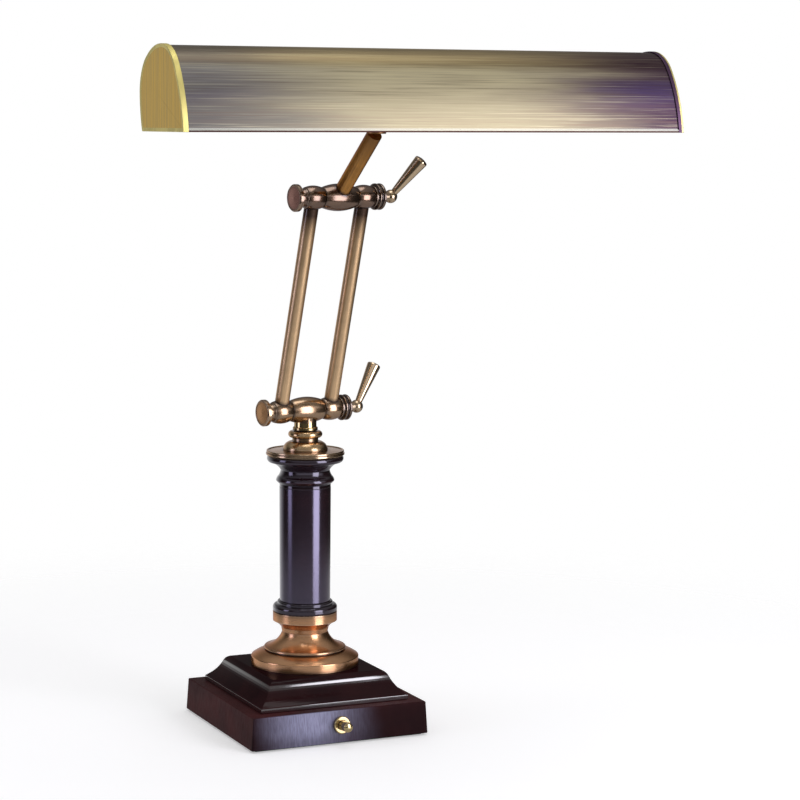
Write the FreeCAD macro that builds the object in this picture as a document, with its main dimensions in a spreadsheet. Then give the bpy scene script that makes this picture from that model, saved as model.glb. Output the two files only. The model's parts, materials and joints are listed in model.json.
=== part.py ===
"""Piano lamp with a swing arm: one parametric FreeCAD document, exported one STEP file per sub-part.

Millimetres. The origin is the middle of the felt pad's underside. +X runs along the shade, -Y is the front
(the side with the dimmer knob) and +Z is up.
"""

import FreeCAD, Part
import math
import os

import Sketcher
from FreeCAD import Placement, Rotation, Vector

X_AXIS = Vector(1, 0, 0)
Y_AXIS = Vector(0, 1, 0)
Z_AXIS = Vector(0, 0, 1)

# ---------------------------------------------------------------------------------------------------------
# Driving dimensions: alias, value or formula, meaning
# ---------------------------------------------------------------------------------------------------------

SIZES = {
    "Overall, at rest": [
        ("overall_width", 355.6, "over the shade's end caps"),
        ("overall_height", 486.1, "table to the top of the shade"),
        ("overall_reach", 196.3, "column's axis to the front of the shade"),
    ],
    "Rest pose": [
        ("arm_yaw", 9, "arms turned on the column, degrees"),
        ("arm_lean", 15.6, "arms forward of upright, degrees"),
        ("stem_lean", 46.1, "stem forward of upright, degrees"),
        ("shade_yaw", 0, "shade square to the base, degrees"),
    ],
    "Clearances": [
        ("thread_gap", 0.05, "radial gap of a screwed joint"),
        ("running_gap", 0.05, "radial gap of a shaft that turns"),
        ("pass_gap", 0.4, "radial gap round a part that only passes through"),
        ("seat_gap", 0.1, "radial gap of a register or a lining"),
        ("joint_gap", 0.3, "gap between faces that move past each other"),
    ],
    "Base": [
        ("felt_thickness", 1.5, "felt pad"),
        ("felt_inset", 4, "felt edge in from the plinth's edge"),
        ("plinth_width", 136, "side of the square plinth at the bottom"),
        ("plinth_height", 22.9, "plinth without the felt"),
        ("plinth_draft", 4, "lean of the plinth's sides, degrees"),
        ("plinth_corner", 2, "radius of the upright corners"),
        ("plinth_edge", 0.8, "radius of the top edge"),
        ("plinth_wall", 5, "least side wall"),
        ("plinth_roof", 4.5, "top wall"),
        ("plate_thickness", 2.5, "steel bottom plate"),
        ("lug_radius", 5, "screw lugs inside the plinth"),
        ("screw_radius", 1.5, "bottom plate screws"),
        ("screw_head_radius", 2.8, "countersunk heads"),
        ("screw_head_height", 1.5, "countersunk heads"),
        ("screw_length", 9, "bottom plate screws"),
        ("weight_length", 104, "iron weight, left to right"),
        ("weight_clear", 1.4, "between the weight and the dimmer's case"),
        ("weight_thickness", 8, "iron weight"),
        ("step_width", 113.4, "ogee step at its lower lip"),
        ("step_lip_height", 3.4, "upright lip of the step"),
        ("step_lip_quirk", 0.6, "set-in above the lip"),
        ("step_cove_width", 92.4, "width over the top of the cove"),
        ("step_cove_height", 16.4, "height of the top of the cove"),
        ("step_quirk_sweep", 32, "arc over the lip, degrees"),
        ("step_cove_sweep", 50, "arc of the cove, degrees"),
        ("step_top_width", 84, "flat top of the step"),
        ("step_height", 20.1, "whole step"),
        ("step_wall", 7, "wall left round the step's core"),
    ],
    "Base, worked out": [
        ("draft_run", "=plinth_height * tan(plinth_draft)", "how far a side leans in"),
        ("cavity_width", "=plinth_width - 2 * draft_run - 2 * plinth_wall", "inside of the plinth"),
        ("cavity_height", "=plinth_height - plinth_roof", "inside of the plinth"),
        ("lug_place", "=cavity_width / 2 - lug_radius", "lugs from the middle"),
        ("step_core", "=step_top_width - 2 * step_wall", "hollow under the step"),
        ("plinth_top", "=felt_thickness + plinth_height", "level"),
        ("step_top", "=plinth_top + step_height", "level"),
    ],
    "Dimmer and cord inlet": [
        ("dimmer_height", 12.4, "dimmer axis above the plinth's underside"),
        ("dimmer_width", 24, "dimmer case"),
        ("dimmer_tall", 10.4, "dimmer case"),
        ("dimmer_depth", 18, "dimmer case"),
        ("dimmer_stand", 0.8, "case behind the wall"),
        ("bushing_radius", 3.4, "threaded bushing"),
        ("ring_radius", 6.25, "ring nut"),
        ("ring_thickness", 2.6, "ring nut"),
        ("shaft_radius", 2, "dimmer shaft"),
        ("knob_radius", 3.5, "dimmer knob"),
        ("knob_reach", 13.6, "knob's tip from the plinth's face"),
        ("knob_dome", 1.2, "height of the knob's domed end"),
        ("knob_edge", 0.5, "chamfer at the knob's foot"),
        ("knob_cover", 2.4, "metal over the end of the shaft"),
        ("inlet_height", 10.5, "cord inlet above the plinth's underside"),
        ("inlet_bore", 3.3, "radius that a cord passes through"),
        ("inlet_barrel", 4.9, "grommet in the wall"),
        ("inlet_flange", 7.2, "grommet outside the wall"),
        ("inlet_flange_height", 1.8, "grommet outside the wall"),
        ("inlet_sweep", 70, "rounding of the grommet, degrees"),
        ("inlet_length", 8, "grommet inside the face"),
        ("weight_depth", "=cavity_width - 2 * (dimmer_stand + dimmer_depth + weight_clear)", "iron weight"),
    ],
    "Column": [
        ("foot_radius", 39.2, "rim of the foot"),
        ("foot_rim_height", 6, "upright band of the foot"),
        ("foot_rim_edge", 0.9, "rounding over the band"),
        ("bell_radius", 29.8, "lip of the bell"),
        ("bell_level", 11.9, "underside of the bell's lip"),
        ("bell_lip", 1.3, "height of the bell's lip"),
        ("bell_quirk", 1.2, "groove under the lip"),
        ("foot_neck", 16.7, "thinnest place of the foot"),
        ("foot_neck_level", 24, "level of the thinnest place"),
        ("foot_throat", 17.4, "radius under the flare"),
        ("foot_throat_level", 27.4, "level under the flare"),
        ("foot_band", 23.4, "band at the top of the foot"),
        ("foot_band_level", 32.2, "lower edge of the band"),
        ("foot_height", 38.9, "whole foot"),
        ("foot_wall", 3, "wall of the foot"),
        ("foot_rim_sweep", 60, "rounding over the band, degrees"),
        ("foot_dome_sweep", 22, "arc from the band to the bell, degrees"),
        ("bell_lip_sweep", 70, "rounding of the bell's lip, degrees"),
        ("bell_sweep", 64, "hollow arc from the bell to the neck, degrees"),
        ("foot_flare_sweep", 34, "hollow arc under the top band, degrees"),
        ("collar_radius", 23.5, "dark collar over the foot"),
        ("collar_band", 3.4, "height of its wide part"),
        ("collar_step", 20.2, "radius of its upper step"),
        ("collar_step_level", 5.6, "level of the step"),
        ("collar_height", 8, "whole collar"),
        ("collar_sweep", 75, "arc between wide part and step, degrees"),
        ("collar_edge_sweep", 60, "rounding of the collar's top edge, degrees"),
        ("tube_foot", 18.4, "column tube at its foot"),
        ("tube_head", 18.7, "column tube at its head"),
        ("tube_wall", 2, "column tube"),
        ("register_height", 4, "spigots in the tube's ends"),
        ("register_wall", 2.5, "wall of the spigots"),
        ("capital_ring", 21.2, "ring of the capital"),
        ("capital_ring_level", 4.8, "level of the ring"),
        ("capital_neck", 17.8, "neck of the capital"),
        ("capital_neck_level", 12.4, "level of the neck"),
        ("capital_rim", 27.8, "rim of the capital"),
        ("capital_rim_level", 18.4, "underside of the rim"),
        ("capital_height", 23.7, "whole capital"),
        ("capital_bead_in", 1.6, "top of the ring's bead, out from the neck"),
        ("capital_bead_height", 3.4, "height of the ring's bead"),
        ("capital_rim_in", 1.4, "rim's lower arc, in from the rim"),
        ("capital_rim_rise", 2.4, "height of the rim's lower arc"),
        ("capital_top_in", 0.9, "rim's top edge, in from the rim"),
        ("capital_top_edge", 0.7, "chamfer of the rim's top edge"),
        ("capital_ring_sweep", 28, "arc under the ring, degrees"),
        ("capital_bead_sweep", 42, "arc of the ring's bead, degrees"),
        ("capital_throat_sweep", 24, "hollow arc over the ring, degrees"),
        ("capital_flare_sweep", 52, "hollow arc under the rim, degrees"),
        ("capital_rim_sweep", 60, "lower arc of the rim, degrees"),
        ("capital_edge_sweep", 50, "upper arc of the rim, degrees"),
        ("cap_radius", 28.5, "brass cap"),
        ("cap_upper_radius", 28.1, "upper rim of the cap"),
        ("cap_height", 3.2, "brass cap"),
        ("cap_groove", 0.6, "groove between the rims"),
        ("cap_dish", 0.5, "dish of the cap's top"),
        ("cap_edge", 0.3, "chamfer of the cap's top edge"),
        ("cone_radius", 16.3, "domed cone on the cap"),
        ("cone_foot", 1, "its upright foot"),
        ("cone_top_radius", 10.9, "domed cone on the cap"),
        ("cone_height", 6.4, "domed cone on the cap"),
        ("cone_sweep", 68, "arc from the cone's foot to its top, degrees"),
        ("socket_groove", 9.4, "groove over the cone"),
        ("socket_groove_height", 2.6, "groove over the cone"),
        ("bead_radius", 2.45, "round bead at the top of the swivel socket"),
        ("bead_reach", 12.4, "bead from the axis"),
        ("shank_radius", 7.5, "swivel socket's shank"),
        ("shank_length", 12, "swivel socket's shank"),
        ("rod_thread", 4.8, "threaded rod, radius"),
        ("rod_hole", 3.2, "threaded rod, bore"),
        ("rod_engaged", 7, "threaded rod in the shank"),
        ("rod_below_nut", 0.6, "threaded rod under its nut"),
        ("nut_across", 17, "hexagon nut, corner to corner"),
        ("nut_height", 4, "hexagon nut"),
        ("washer_radius", 10, "washer under the nut"),
        ("washer_height", 1.5, "washer under the nut"),
    ],
    "Column swivel": [
        ("spindle_radius", 5, "spindle of the yoke"),
        ("spindle_length", 14.5, "spindle below its ring"),
        ("spindle_groove", 4, "groove that the set screw runs in, radius"),
        ("wire_bore", 2.4, "hole for the wires"),
        ("set_screw_radius", 2, "set screws of both swivels"),
        ("set_screw_point", 0.5, "chamfer of their points"),
        ("set_screw_sunk", 1, "their tails below the surface"),
        ("set_screw_level", 3.2, "set screw above the cap"),
        ("post_ring", 9.05, "ring on the post"),
        ("post_ring_height", 2.6, "ring on the post"),
        ("post_ring_edge", 0.6, "chamfers of the ring"),
        ("post_radius", 8.1, "post of the yoke"),
        ("post_height", 14.9, "barrel axis above the swivel socket"),
        ("groove_play", 0.3, "set screw's play in the groove"),
    ],
    "Arms": [
        ("rod_spacing", 41.8, "between the rods' axes"),
        ("rod_radius", 5.15, "arm rods"),
        ("arm_length", 160.4, "barrel axis to barrel axis"),
        ("spigot_radius", 3, "rod ends inside the hubs"),
        ("hub_end_radius", 7.35, "hubs at their ends"),
        ("side_hub_swell", 1.3, "swell of the side hubs"),
        ("centre_hub_swell", 2.4, "swell of the centre hubs"),
        ("centre_hub_half", 13.6, "half of a centre hub's length"),
        ("hub_edge", 0.5, "rounding of the hubs' ends"),
        ("bolt_radius", 4, "pivot bolts"),
        ("bolt_head_radius", 9.6, "disc heads"),
        ("bolt_head_height", 3.2, "disc heads"),
        ("bolt_head_chamfer", 0.8, "disc heads"),
        ("bolt_neck_radius", 5.6, "neck behind the disc head"),
        ("bolt_neck_length", 5.6, "neck behind the disc head"),
        ("bolt_neck_sweep", 40, "arc of the neck's flare, degrees"),
        ("bolt_line", 0.3, "depth of the line turned in the disc face"),
        ("spring_radius", 7.8, "spring washers"),
        ("spring_thickness", 1.6, "spring washers"),
        ("tension_radius", 9.35, "tension collars"),
        ("tension_length", 5.8, "tension collars"),
        ("tension_groove", 1.1, "depth of the collar's groove"),
        ("tension_groove_width", 1.5, "width of the collar's groove"),
        ("tension_taper", 0.2, "rings lower beside the groove"),
        ("tension_sweep", 40, "arc over a ring, degrees"),
        ("bolt_tail", 2.6, "threaded ends of the bolts inside the levers"),
        ("lever_neck", 3.7, "lever's neck on the bolt"),
        ("ball_radius", 4.8, "ball of a lever"),
        ("ball_reach", 8.4, "ball's middle from the neck's face"),
        ("ball_cover", 3, "metal over the end of the bolt"),
        ("lever_angle", 61.5, "lever from the barrel axis, degrees"),
        ("lever_length", 35, "lever from the ball's middle to its end"),
        ("lever_root", 2.2, "lever's radius at the ball"),
        ("lever_end", 5, "lever's radius at its end"),
        ("lever_dome", 1, "height of its domed end"),
        ("lever_edge", 0.4, "chamfer round its domed end"),
        ("lower_lever_turn", -2.5, "lower lever, forward of upright, degrees"),
        ("upper_lever_turn", 30.5, "upper lever, forward of upright, degrees"),
    ],
    "Arms, worked out": [
        ("side_hub_width", "=rod_spacing - 2 * centre_hub_half - 2 * joint_gap", "side hubs"),
        ("hub_outer_face", "=rod_spacing / 2 + side_hub_width / 2", "side hubs' outer faces"),
        ("tension_face", "=hub_outer_face + spring_thickness", "collar's inner face"),
        ("lever_face", "=tension_face + tension_length + joint_gap", "lever neck's inner face"),
        ("ball_level", "=lever_face + ball_reach", "middle of a lever's ball"),
        ("ball_rise", "=sqrt(ball_radius ^ 2 - lever_neck ^ 2)", "ball's middle from its neck"),
        ("ball_sweep", "=2 * atan(lever_neck / (ball_radius - ball_rise))", "arc of a ball, degrees"),
        ("bolt_end", "=ball_level + ball_radius - ball_cover", "bore's end inside a lever"),
        ("bolt_bore", "=bolt_radius + running_gap", "bores on the bolts"),
        ("side_hub_sweep", "=4 * atan(2 * side_hub_swell / side_hub_width)", "arc of a side hub"),
        ("centre_hub_sweep", "=4 * atan(centre_hub_swell / centre_hub_half)", "arc of a centre hub"),
    ],
    "Stem and shade swivel": [
        ("stem_radius", 5.4, "stem"),
        ("stem_spigot", 3.5, "stem's end inside the hub"),
        ("stem_length", 66.5, "upper barrel axis to the shade swivel"),
        ("stem_setback", 3, "stem's end before the swivel axis"),
        ("head_radius", 6.7, "fixed head of the shade swivel"),
        ("head_below", 1.6, "head below the shade's edge"),
        ("head_above", 6, "head above the shade's edge"),
        ("head_edge", 0.3, "chamfer under the head"),
        ("pin_radius", 4.6, "spindle of the shade swivel"),
        ("pin_groove", 3.6, "groove that the set screw runs in, radius"),
        ("pin_top", 19.5, "spindle's top above the shade's edge"),
        ("pin_screw_level", 13, "set screw above the shade's edge"),
        ("block_radius", 8, "swivel block"),
        ("block_top", 35.6, "swivel block's top above the shade's edge"),
        ("block_dome", 3, "height of its domed top"),
        ("block_boss", 6.5, "boss for the nipple, radius"),
        ("block_boss_reach", 11, "boss from the swivel axis"),
        ("nipple_level", 25.5, "nipple above the shade's edge"),
        ("nipple_inset", 3, "nipple's end behind the swivel axis"),
        ("nipple_past", 9, "nipple's inner end behind the shade's middle"),
        ("lock_washer_radius", 7.5, "washers on the shade's wall"),
        ("lock_washer_height", 1.2, "washers on the shade's wall"),
        ("lock_nut_across", 15, "nut inside the shade, corner to corner"),
        ("lock_nut_height", 3.5, "nut inside the shade"),
    ],
    "Shade": [
        ("shade_chord", 76, "width over the bottom edges"),
        ("shade_height", 54, "bottom edge to ridge"),
        ("shade_brow", 18, "front shoulder, from the front edge"),
        ("shade_brow_level", 43.5, "front shoulder"),
        ("shade_ridge", 41.8, "ridge, from the front edge"),
        ("shade_hip", 66.4, "back shoulder, from the front edge"),
        ("shade_hip_level", 47.3, "back shoulder"),
        ("shade_bulge", 80.4, "widest place, from the front edge"),
        ("shade_bulge_level", 24.5, "widest place"),
        ("front_sweep", 29.7, "arc from the front edge to the front shoulder, degrees"),
        ("brow_sweep", 52, "arc over the front shoulder, degrees"),
        ("crown_sweep", 30.4, "arc from the ridge to the back shoulder, degrees"),
        ("hip_sweep", 63, "arc over the back shoulder, degrees"),
        ("skirt_sweep", 20, "arc down the back, degrees"),
        ("shade_wall", 1, "sheet thickness"),
        ("hem_out", 0.6, "hem outside the sheet"),
        ("hem_height", 1.8, "hem along the bottom edges"),
        ("cap_sheet", 1, "end cap sheet"),
        ("cap_lip", 2.9, "end cap's lip over the shell"),
        ("cap_lip_wall", 0.8, "end cap's lip"),
    ],
    "Shade, worked out": [
        ("hip_run", "=shade_bulge - shade_hip", "arc over the widest place"),
        ("hip_rise", "=shade_hip_level - shade_bulge_level", "arc over the widest place"),
        ("hip_chord", "=sqrt(hip_run ^ 2 + hip_rise ^ 2)", "arc over the widest place"),
        ("hip_radius", "=hip_chord / 2 / sin(hip_sweep / 2) - shade_wall", "its inside"),
        ("washer_climb", "=lock_washer_radius + abs(nipple_level - shade_bulge_level)", "washer's far edge"),
        ("washer_sag", "=hip_radius - sqrt(hip_radius ^ 2 - washer_climb ^ 2)", "curve behind the washer"),
    ],
    "Lamp holders": [
        ("cluster_radius", 12, "cluster body"),
        ("cluster_half", 12, "half of its length"),
        ("cluster_boss", 7.5, "boss for the nipple"),
        ("cluster_boss_reach", 16, "boss from the cluster's axis"),
        ("cluster_edge", 0.6, "chamfers of the cluster body"),
        ("holder_radius", 15, "lamp holders"),
        ("holder_wall", 1.6, "lamp holders"),
        ("holder_floor", 4, "lamp holders"),
        ("holder_length", 31, "lamp holders"),
        ("holder_shank", 5.2, "lamp holders' threaded shanks"),
        ("holder_shank_length", 7, "lamp holders' threaded shanks"),
        ("lamp_cap_radius", 13, "screw cap of a lamp"),
        ("lamp_cap_length", 24, "screw cap of a lamp"),
        ("lamp_cap_wall", 0.8, "screw cap of a lamp"),
        ("lamp_contact_radius", 4.3, "contact of a lamp"),
        ("lamp_shell_level", 5, "screw shell's foot above the contact"),
        ("lamp_cap_floor", 7, "floor inside the cap above the contact"),
        ("lamp_neck", 12, "glass inside the cap"),
        ("lamp_neck_depth", 5, "glass inside the cap"),
        ("lamp_radius", 15.9, "tubular lamp"),
        ("lamp_length", 143, "tubular lamp over all"),
        ("lamp_glass", 0.8, "glass wall"),
        ("lamp_shoulder", 9, "from neck to full width"),
        ("lamp_shoulder_sweep", 20, "arc of the shoulder, degrees"),
    ],
    "Overall, worked out": [
        ("bead_level", "=cone_height + socket_groove_height", "underside of the bead"),
        ("socket_height", "=bead_level + 2 * bead_radius", "swivel socket above the cap"),
        ("cap_over", "=cap_lip_wall + thread_gap", "end cap's lip outside the sheet"),
        ("upper_rise", "=arm_length * cos(arm_lean) + stem_length * cos(stem_lean)", "lower barrel to shade"),
        ("upper_reach", "=arm_length * sin(arm_lean) + stem_length * sin(stem_lean)", "lower barrel to shade"),
        ("base_stack", "=felt_thickness + plinth_height + step_height", "table to the foot"),
        ("column_ends", "=foot_height + collar_height + capital_height + cap_height", "column but the tube"),
        ("head_stack", "=socket_height + post_height + upper_rise + shade_height + cap_over", "over the cap"),
        ("tube_length", "=overall_height - base_stack - column_ends - head_stack", "column tube"),
        ("shade_front", "=shade_chord / 2 + cap_over", "shade's front from its middle"),
        ("shade_offset", "=overall_reach - upper_reach * cos(arm_yaw) - shade_front",
         "shade's middle in front of its swivel axis"),
    ],
    "Column, worked out": [
        ("collar_level", "=step_top + foot_height", "level"),
        ("tube_level", "=collar_level + collar_height", "level"),
        ("capital_level", "=tube_level + tube_length", "level"),
        ("cap_level", "=capital_level + capital_height", "level"),
        ("socket_level", "=cap_level + cap_height", "level"),
        ("nut_level", "=plinth_top - plinth_roof - weight_thickness - washer_height - nut_height", "level"),
        ("column_bore", "=rod_thread + pass_gap", "holes that the rod passes"),
    ],
}

doc = FreeCAD.newDocument("PianoLamp")
sheet = doc.addObject("Spreadsheet::Sheet", "dim")


def fill_sheet():
    row = 1
    for group, entries in SIZES.items():
        sheet.set(f"A{row}", group)
        row += 1
        for alias, size, meaning in entries:
            sheet.set(f"A{row}", alias)
            sheet.set(f"B{row}", str(size))
            sheet.set(f"C{row}", meaning)
            sheet.setAlias(f"B{row}", alias)
            row += 1
    doc.recompute()


def number(text):
    """Value of an expression on the sheet's sizes."""
    return float(sheet.evalExpression(str(text)))


# ---------------------------------------------------------------------------------------------------------
# Sketches and features
# ---------------------------------------------------------------------------------------------------------


def new_body(label):
    body = doc.addObject("PartDesign::Body", label)
    body.Label = label
    return body


def new_sketch(body, plane, lift="0", slide="0", tilt=None):
    """Sketch on one of the body's own origin planes, lifted along its normal and slid along its own y."""
    sketch = body.newObject("Sketcher::SketchObject", body.Name + "_sketch")
    support = [part for part in body.Origin.OriginFeatures if part.Role == plane][0]
    sketch.AttachmentSupport = [(support, "")]
    sketch.MapMode = "FlatFace"
    sketch.AttachmentOffset = Placement(Vector(0, number(slide), number(lift)), tilt or Rotation())
    sketch.setExpression("AttachmentOffset.Base.z", str(lift))
    sketch.setExpression("AttachmentOffset.Base.y", str(slide))
    return sketch


def fix(sketch, kind, first, second, text):
    """Distance constraint from the first to the second point, its datum bound to the expression."""
    size = number(text)
    ends = first + second if size >= 0 else second + first
    bound = text if size >= 0 else f"-({text})"
    index = sketch.addConstraint(Sketcher.Constraint(kind, *ends, abs(size)))
    sketch.setExpression(f"Constraints[{index}]", bound)


def fix_point(sketch, geometry, end, across, up):
    origin = (-1, 1)
    for kind, text, axis in (("DistanceX", across, -2), ("DistanceY", up, -1)):
        if text == "0":
            sketch.addConstraint(Sketcher.Constraint("PointOnObject", geometry, end, axis))
        else:
            fix(sketch, kind, origin, (geometry, end), text)


def add_outline(sketch, corners):
    """Closed outline. A corner is (x, y) or (x, y, sweep): with a sweep, the side that leaves the corner is
    an arc of that many degrees, anticlockwise if positive. All are expressions."""
    ends = []
    for here, there in zip(corners, corners[1:] + corners[:1]):
        start = Vector(number(here[0]), number(here[1]), 0)
        stop = Vector(number(there[0]), number(there[1]), 0)
        if len(here) == 2:
            side = sketch.addGeometry(Part.LineSegment(start, stop))
            ends.append((side, 1, 2))
            continue
        sweep = number(here[2])
        chord = stop - start
        toward = Vector(-chord.y, chord.x, 0) * (0.5 / number(f"tan(({here[2]}) / 2)"))
        centre = (start + stop) * 0.5 + toward
        opening = (start if sweep > 0 else stop) - centre
        angle = math.atan2(opening.y, opening.x)
        circle = Part.Circle(centre, Z_AXIS, opening.Length)
        side = sketch.addGeometry(Part.ArcOfCircle(circle, angle, angle + math.radians(abs(sweep))))
        first = 1 if sweep > 0 else 2
        ends.append((side, first, 3 - first))
        run = f"(({there[0]}) - ({here[0]}))"
        rise = f"(({there[1]}) - ({here[1]}))"
        size = f"{here[2]}" if sweep > 0 else f"-({here[2]})"
        radius = f"sqrt({run} * {run} + {rise} * {rise}) / (2 * sin(({size}) / 2))"
        index = sketch.addConstraint(Sketcher.Constraint("Radius", side, number(radius)))
        sketch.setExpression(f"Constraints[{index}]", radius)
    for place, (side, first, last) in enumerate(ends):
        after = ends[(place + 1) % len(ends)]
        sketch.addConstraint(Sketcher.Constraint("Coincident", side, last, after[0], after[1]))
        fix_point(sketch, side, first, corners[place][0], corners[place][1])


def add_circle(sketch, radius, across="0", up="0"):
    centre = Vector(number(across), number(up), 0)
    circle = sketch.addGeometry(Part.Circle(centre, Z_AXIS, number(radius)))
    index = sketch.addConstraint(Sketcher.Constraint("Radius", circle, number(radius)))
    sketch.setExpression(f"Constraints[{index}]", radius)
    fix_point(sketch, circle, 3, across, up)


def revolve(body, corners, axis="V_Axis", kind="Revolution", lift="0", slide="0"):
    """Revolution or Groove of an outline in the XZ plane: V_Axis turns it about Z, H_Axis about X."""
    sketch = new_sketch(body, "XZ_Plane", lift, slide)
    add_outline(sketch, corners)
    feature = body.newObject("PartDesign::" + kind, body.Name + "_" + kind.lower())
    feature.Profile = sketch
    feature.ReferenceAxis = (sketch, [axis])
    feature.Angle = 360
    body.Tip = feature
    return feature


def extrude(body, kind, sketch, length, flip=False, centred=False):
    """Pad or Pocket of a sketch by a bound length."""
    feature = body.newObject("PartDesign::" + kind, body.Name + "_" + kind.lower())
    feature.Profile = sketch
    feature.Type = "Length"
    feature.Length = number(length)
    feature.setExpression("Length", length)
    feature.Reversed = flip
    if centred:
        feature.SideType = "Symmetric"
    body.Tip = feature
    return feature


def round_bar(body, kind, plane, radius, length, lift="0", slide="0", flip=False, centred=False, tilt=None):
    sketch = new_sketch(body, plane, lift, slide, tilt)
    add_circle(sketch, radius)
    return extrude(body, kind, sketch, length, flip, centred)


def rectangle(across, up, middle_up="0"):
    """Corners of a rectangle centred on the sketch's y axis."""
    left, right = f"-({across}) / 2", f"({across}) / 2"
    low, high = f"({middle_up}) - ({up}) / 2", f"({middle_up}) + ({up}) / 2"
    return [(left, low), (right, low), (right, high), (left, high)]


def turned(label, corners, axis="V_Axis"):
    body = new_body(label)
    revolve(body, corners, axis)
    return body


def dome(height, radius):
    """Sweep of an arc that closes a turned end of that radius with a spherical dome of that height."""
    return f"2 * atan({height} / {radius})"


def ring(label, inner, outer, height):
    return turned(label, [(inner, "0"), (outer, "0"), (outer, height), (inner, height)])


def hexagon_nut(label, across, height, bore):
    """Hexagon with a plain hole."""
    prism = doc.addObject("Part::Prism", label + "_blank")
    prism.Polygon = 6
    prism.setExpression("Circumradius", f"{across} / 2")
    prism.setExpression("Height", height)
    hole = doc.addObject("Part::Cylinder", label + "_hole")
    hole.setExpression("Radius", bore)
    hole.setExpression("Height", height)
    nut = doc.addObject("Part::Cut", label)
    nut.Base = prism
    nut.Tool = hole
    nut.Label = label
    return nut


# ---------------------------------------------------------------------------------------------------------
# Frames of the moving groups, at rest
# ---------------------------------------------------------------------------------------------------------


def level(text):
    return Placement(Vector(0, 0, number(text)), Rotation())


def frames():
    """Placement of each group's own frame: -Y forward and X along the barrels in all of them."""
    lower_axis = "dim.socket_level + dim.socket_height + dim.post_height"
    yoke = Placement(Vector(0, 0, number(lower_axis)), Rotation(Z_AXIS, number("dim.arm_yaw")))
    arms = yoke * Placement(Vector(), Rotation(X_AXIS, number("dim.arm_lean")))
    upper = Placement((arms * level("dim.arm_length")).Base, yoke.Rotation)
    stem = upper * Placement(Vector(), Rotation(X_AXIS, number("dim.stem_lean")))
    swivel = Placement((stem * level("dim.stem_length")).Base, yoke.Rotation)
    turn = Placement(swivel.Base, Rotation(Z_AXIS, number("dim.shade_yaw")))
    shade = turn * Placement(Vector(0, -number("dim.shade_offset"), 0), Rotation())
    return {
        "yoke": yoke,
        "arms": arms,
        "top": arms * level("dim.arm_length"),
        "stem": stem,
        "swivel": swivel,
        "turn": turn,
        "shade": shade,
    }


def wall_frame(height, front=True):
    """Frame on the plinth's leaning face, at a height above its underside: z points out of the face."""
    face = number(f"dim.plinth_width / 2 - ({height}) * tan(dim.plinth_draft)")
    lean = 90 - number("dim.plinth_draft")
    side = -1 if front else 1
    base = Vector(0, side * face, number(f"dim.felt_thickness + ({height})"))
    return Placement(base, Rotation(X_AXIS, -side * lean))


# ---------------------------------------------------------------------------------------------------------
# Base
# ---------------------------------------------------------------------------------------------------------

PARTS = []


def keep(sub_part, placement=None):
    if placement is not None:
        sub_part.Placement = placement
    PARTS.append(sub_part)
    return sub_part


def square_slab(label, width, thickness):
    body = new_body(label)
    sketch = new_sketch(body, "XY_Plane")
    add_outline(sketch, rectangle(width, width))
    extrude(body, "Pad", sketch, thickness)
    return body


def felt_pad():
    return square_slab("felt_pad", "dim.plinth_width - 2 * dim.felt_inset", "dim.felt_thickness")


def bottom_plate():
    body = square_slab("bottom_plate", "dim.cavity_width - 2 * dim.joint_gap", "dim.plate_thickness")
    seats = new_sketch(body, "XY_Plane")
    for across, up in lug_places():
        add_circle(seats, "dim.screw_head_radius + dim.seat_gap", across, up)
    extrude(body, "Pocket", seats, "dim.screw_head_height", flip=True)
    holes = new_sketch(body, "XY_Plane")
    for across, up in lug_places():
        add_circle(holes, "dim.screw_radius + dim.seat_gap", across, up)
    extrude(body, "Pocket", holes, "dim.plate_thickness", flip=True)
    return body


def lug_places():
    places = []
    for across in ("-", ""):
        for up in ("-", ""):
            places.append((f"{across}(dim.lug_place)", f"{up}(dim.lug_place)"))
    return places


def plate_screws():
    """Four countersunk screws in one group."""
    screws = []
    for across, up in lug_places():
        screw = turned(
            "plate_screw",
            [
                ("0", "0"),
                ("dim.screw_head_radius", "0"),
                ("dim.screw_radius", "dim.screw_head_height"),
                ("dim.screw_radius", "dim.screw_length"),
                ("0", "dim.screw_length"),
            ],
        )
        screw.Placement = Placement(Vector(number(across), number(up), 0), Rotation())
        screws.append(screw)
    group = doc.addObject("Part::Compound", "plate_screws")
    group.Links = screws
    group.Label = "plate_screws"
    return group


def rounded_square(sketch, width, radius):
    """Square with quarter-round corners."""
    far = f"({width}) / 2"
    near = f"({width}) / 2 - ({radius})"
    add_outline(
        sketch,
        [
            (f"-({near})", f"-({far})"),
            (near, f"-({far})", "90"),
            (far, f"-({near})"),
            (far, near, "90"),
            (near, far),
            (f"-({near})", far, "90"),
            (f"-({far})", near),
            (f"-({far})", f"-({near})", "90"),
        ],
    )


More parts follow.
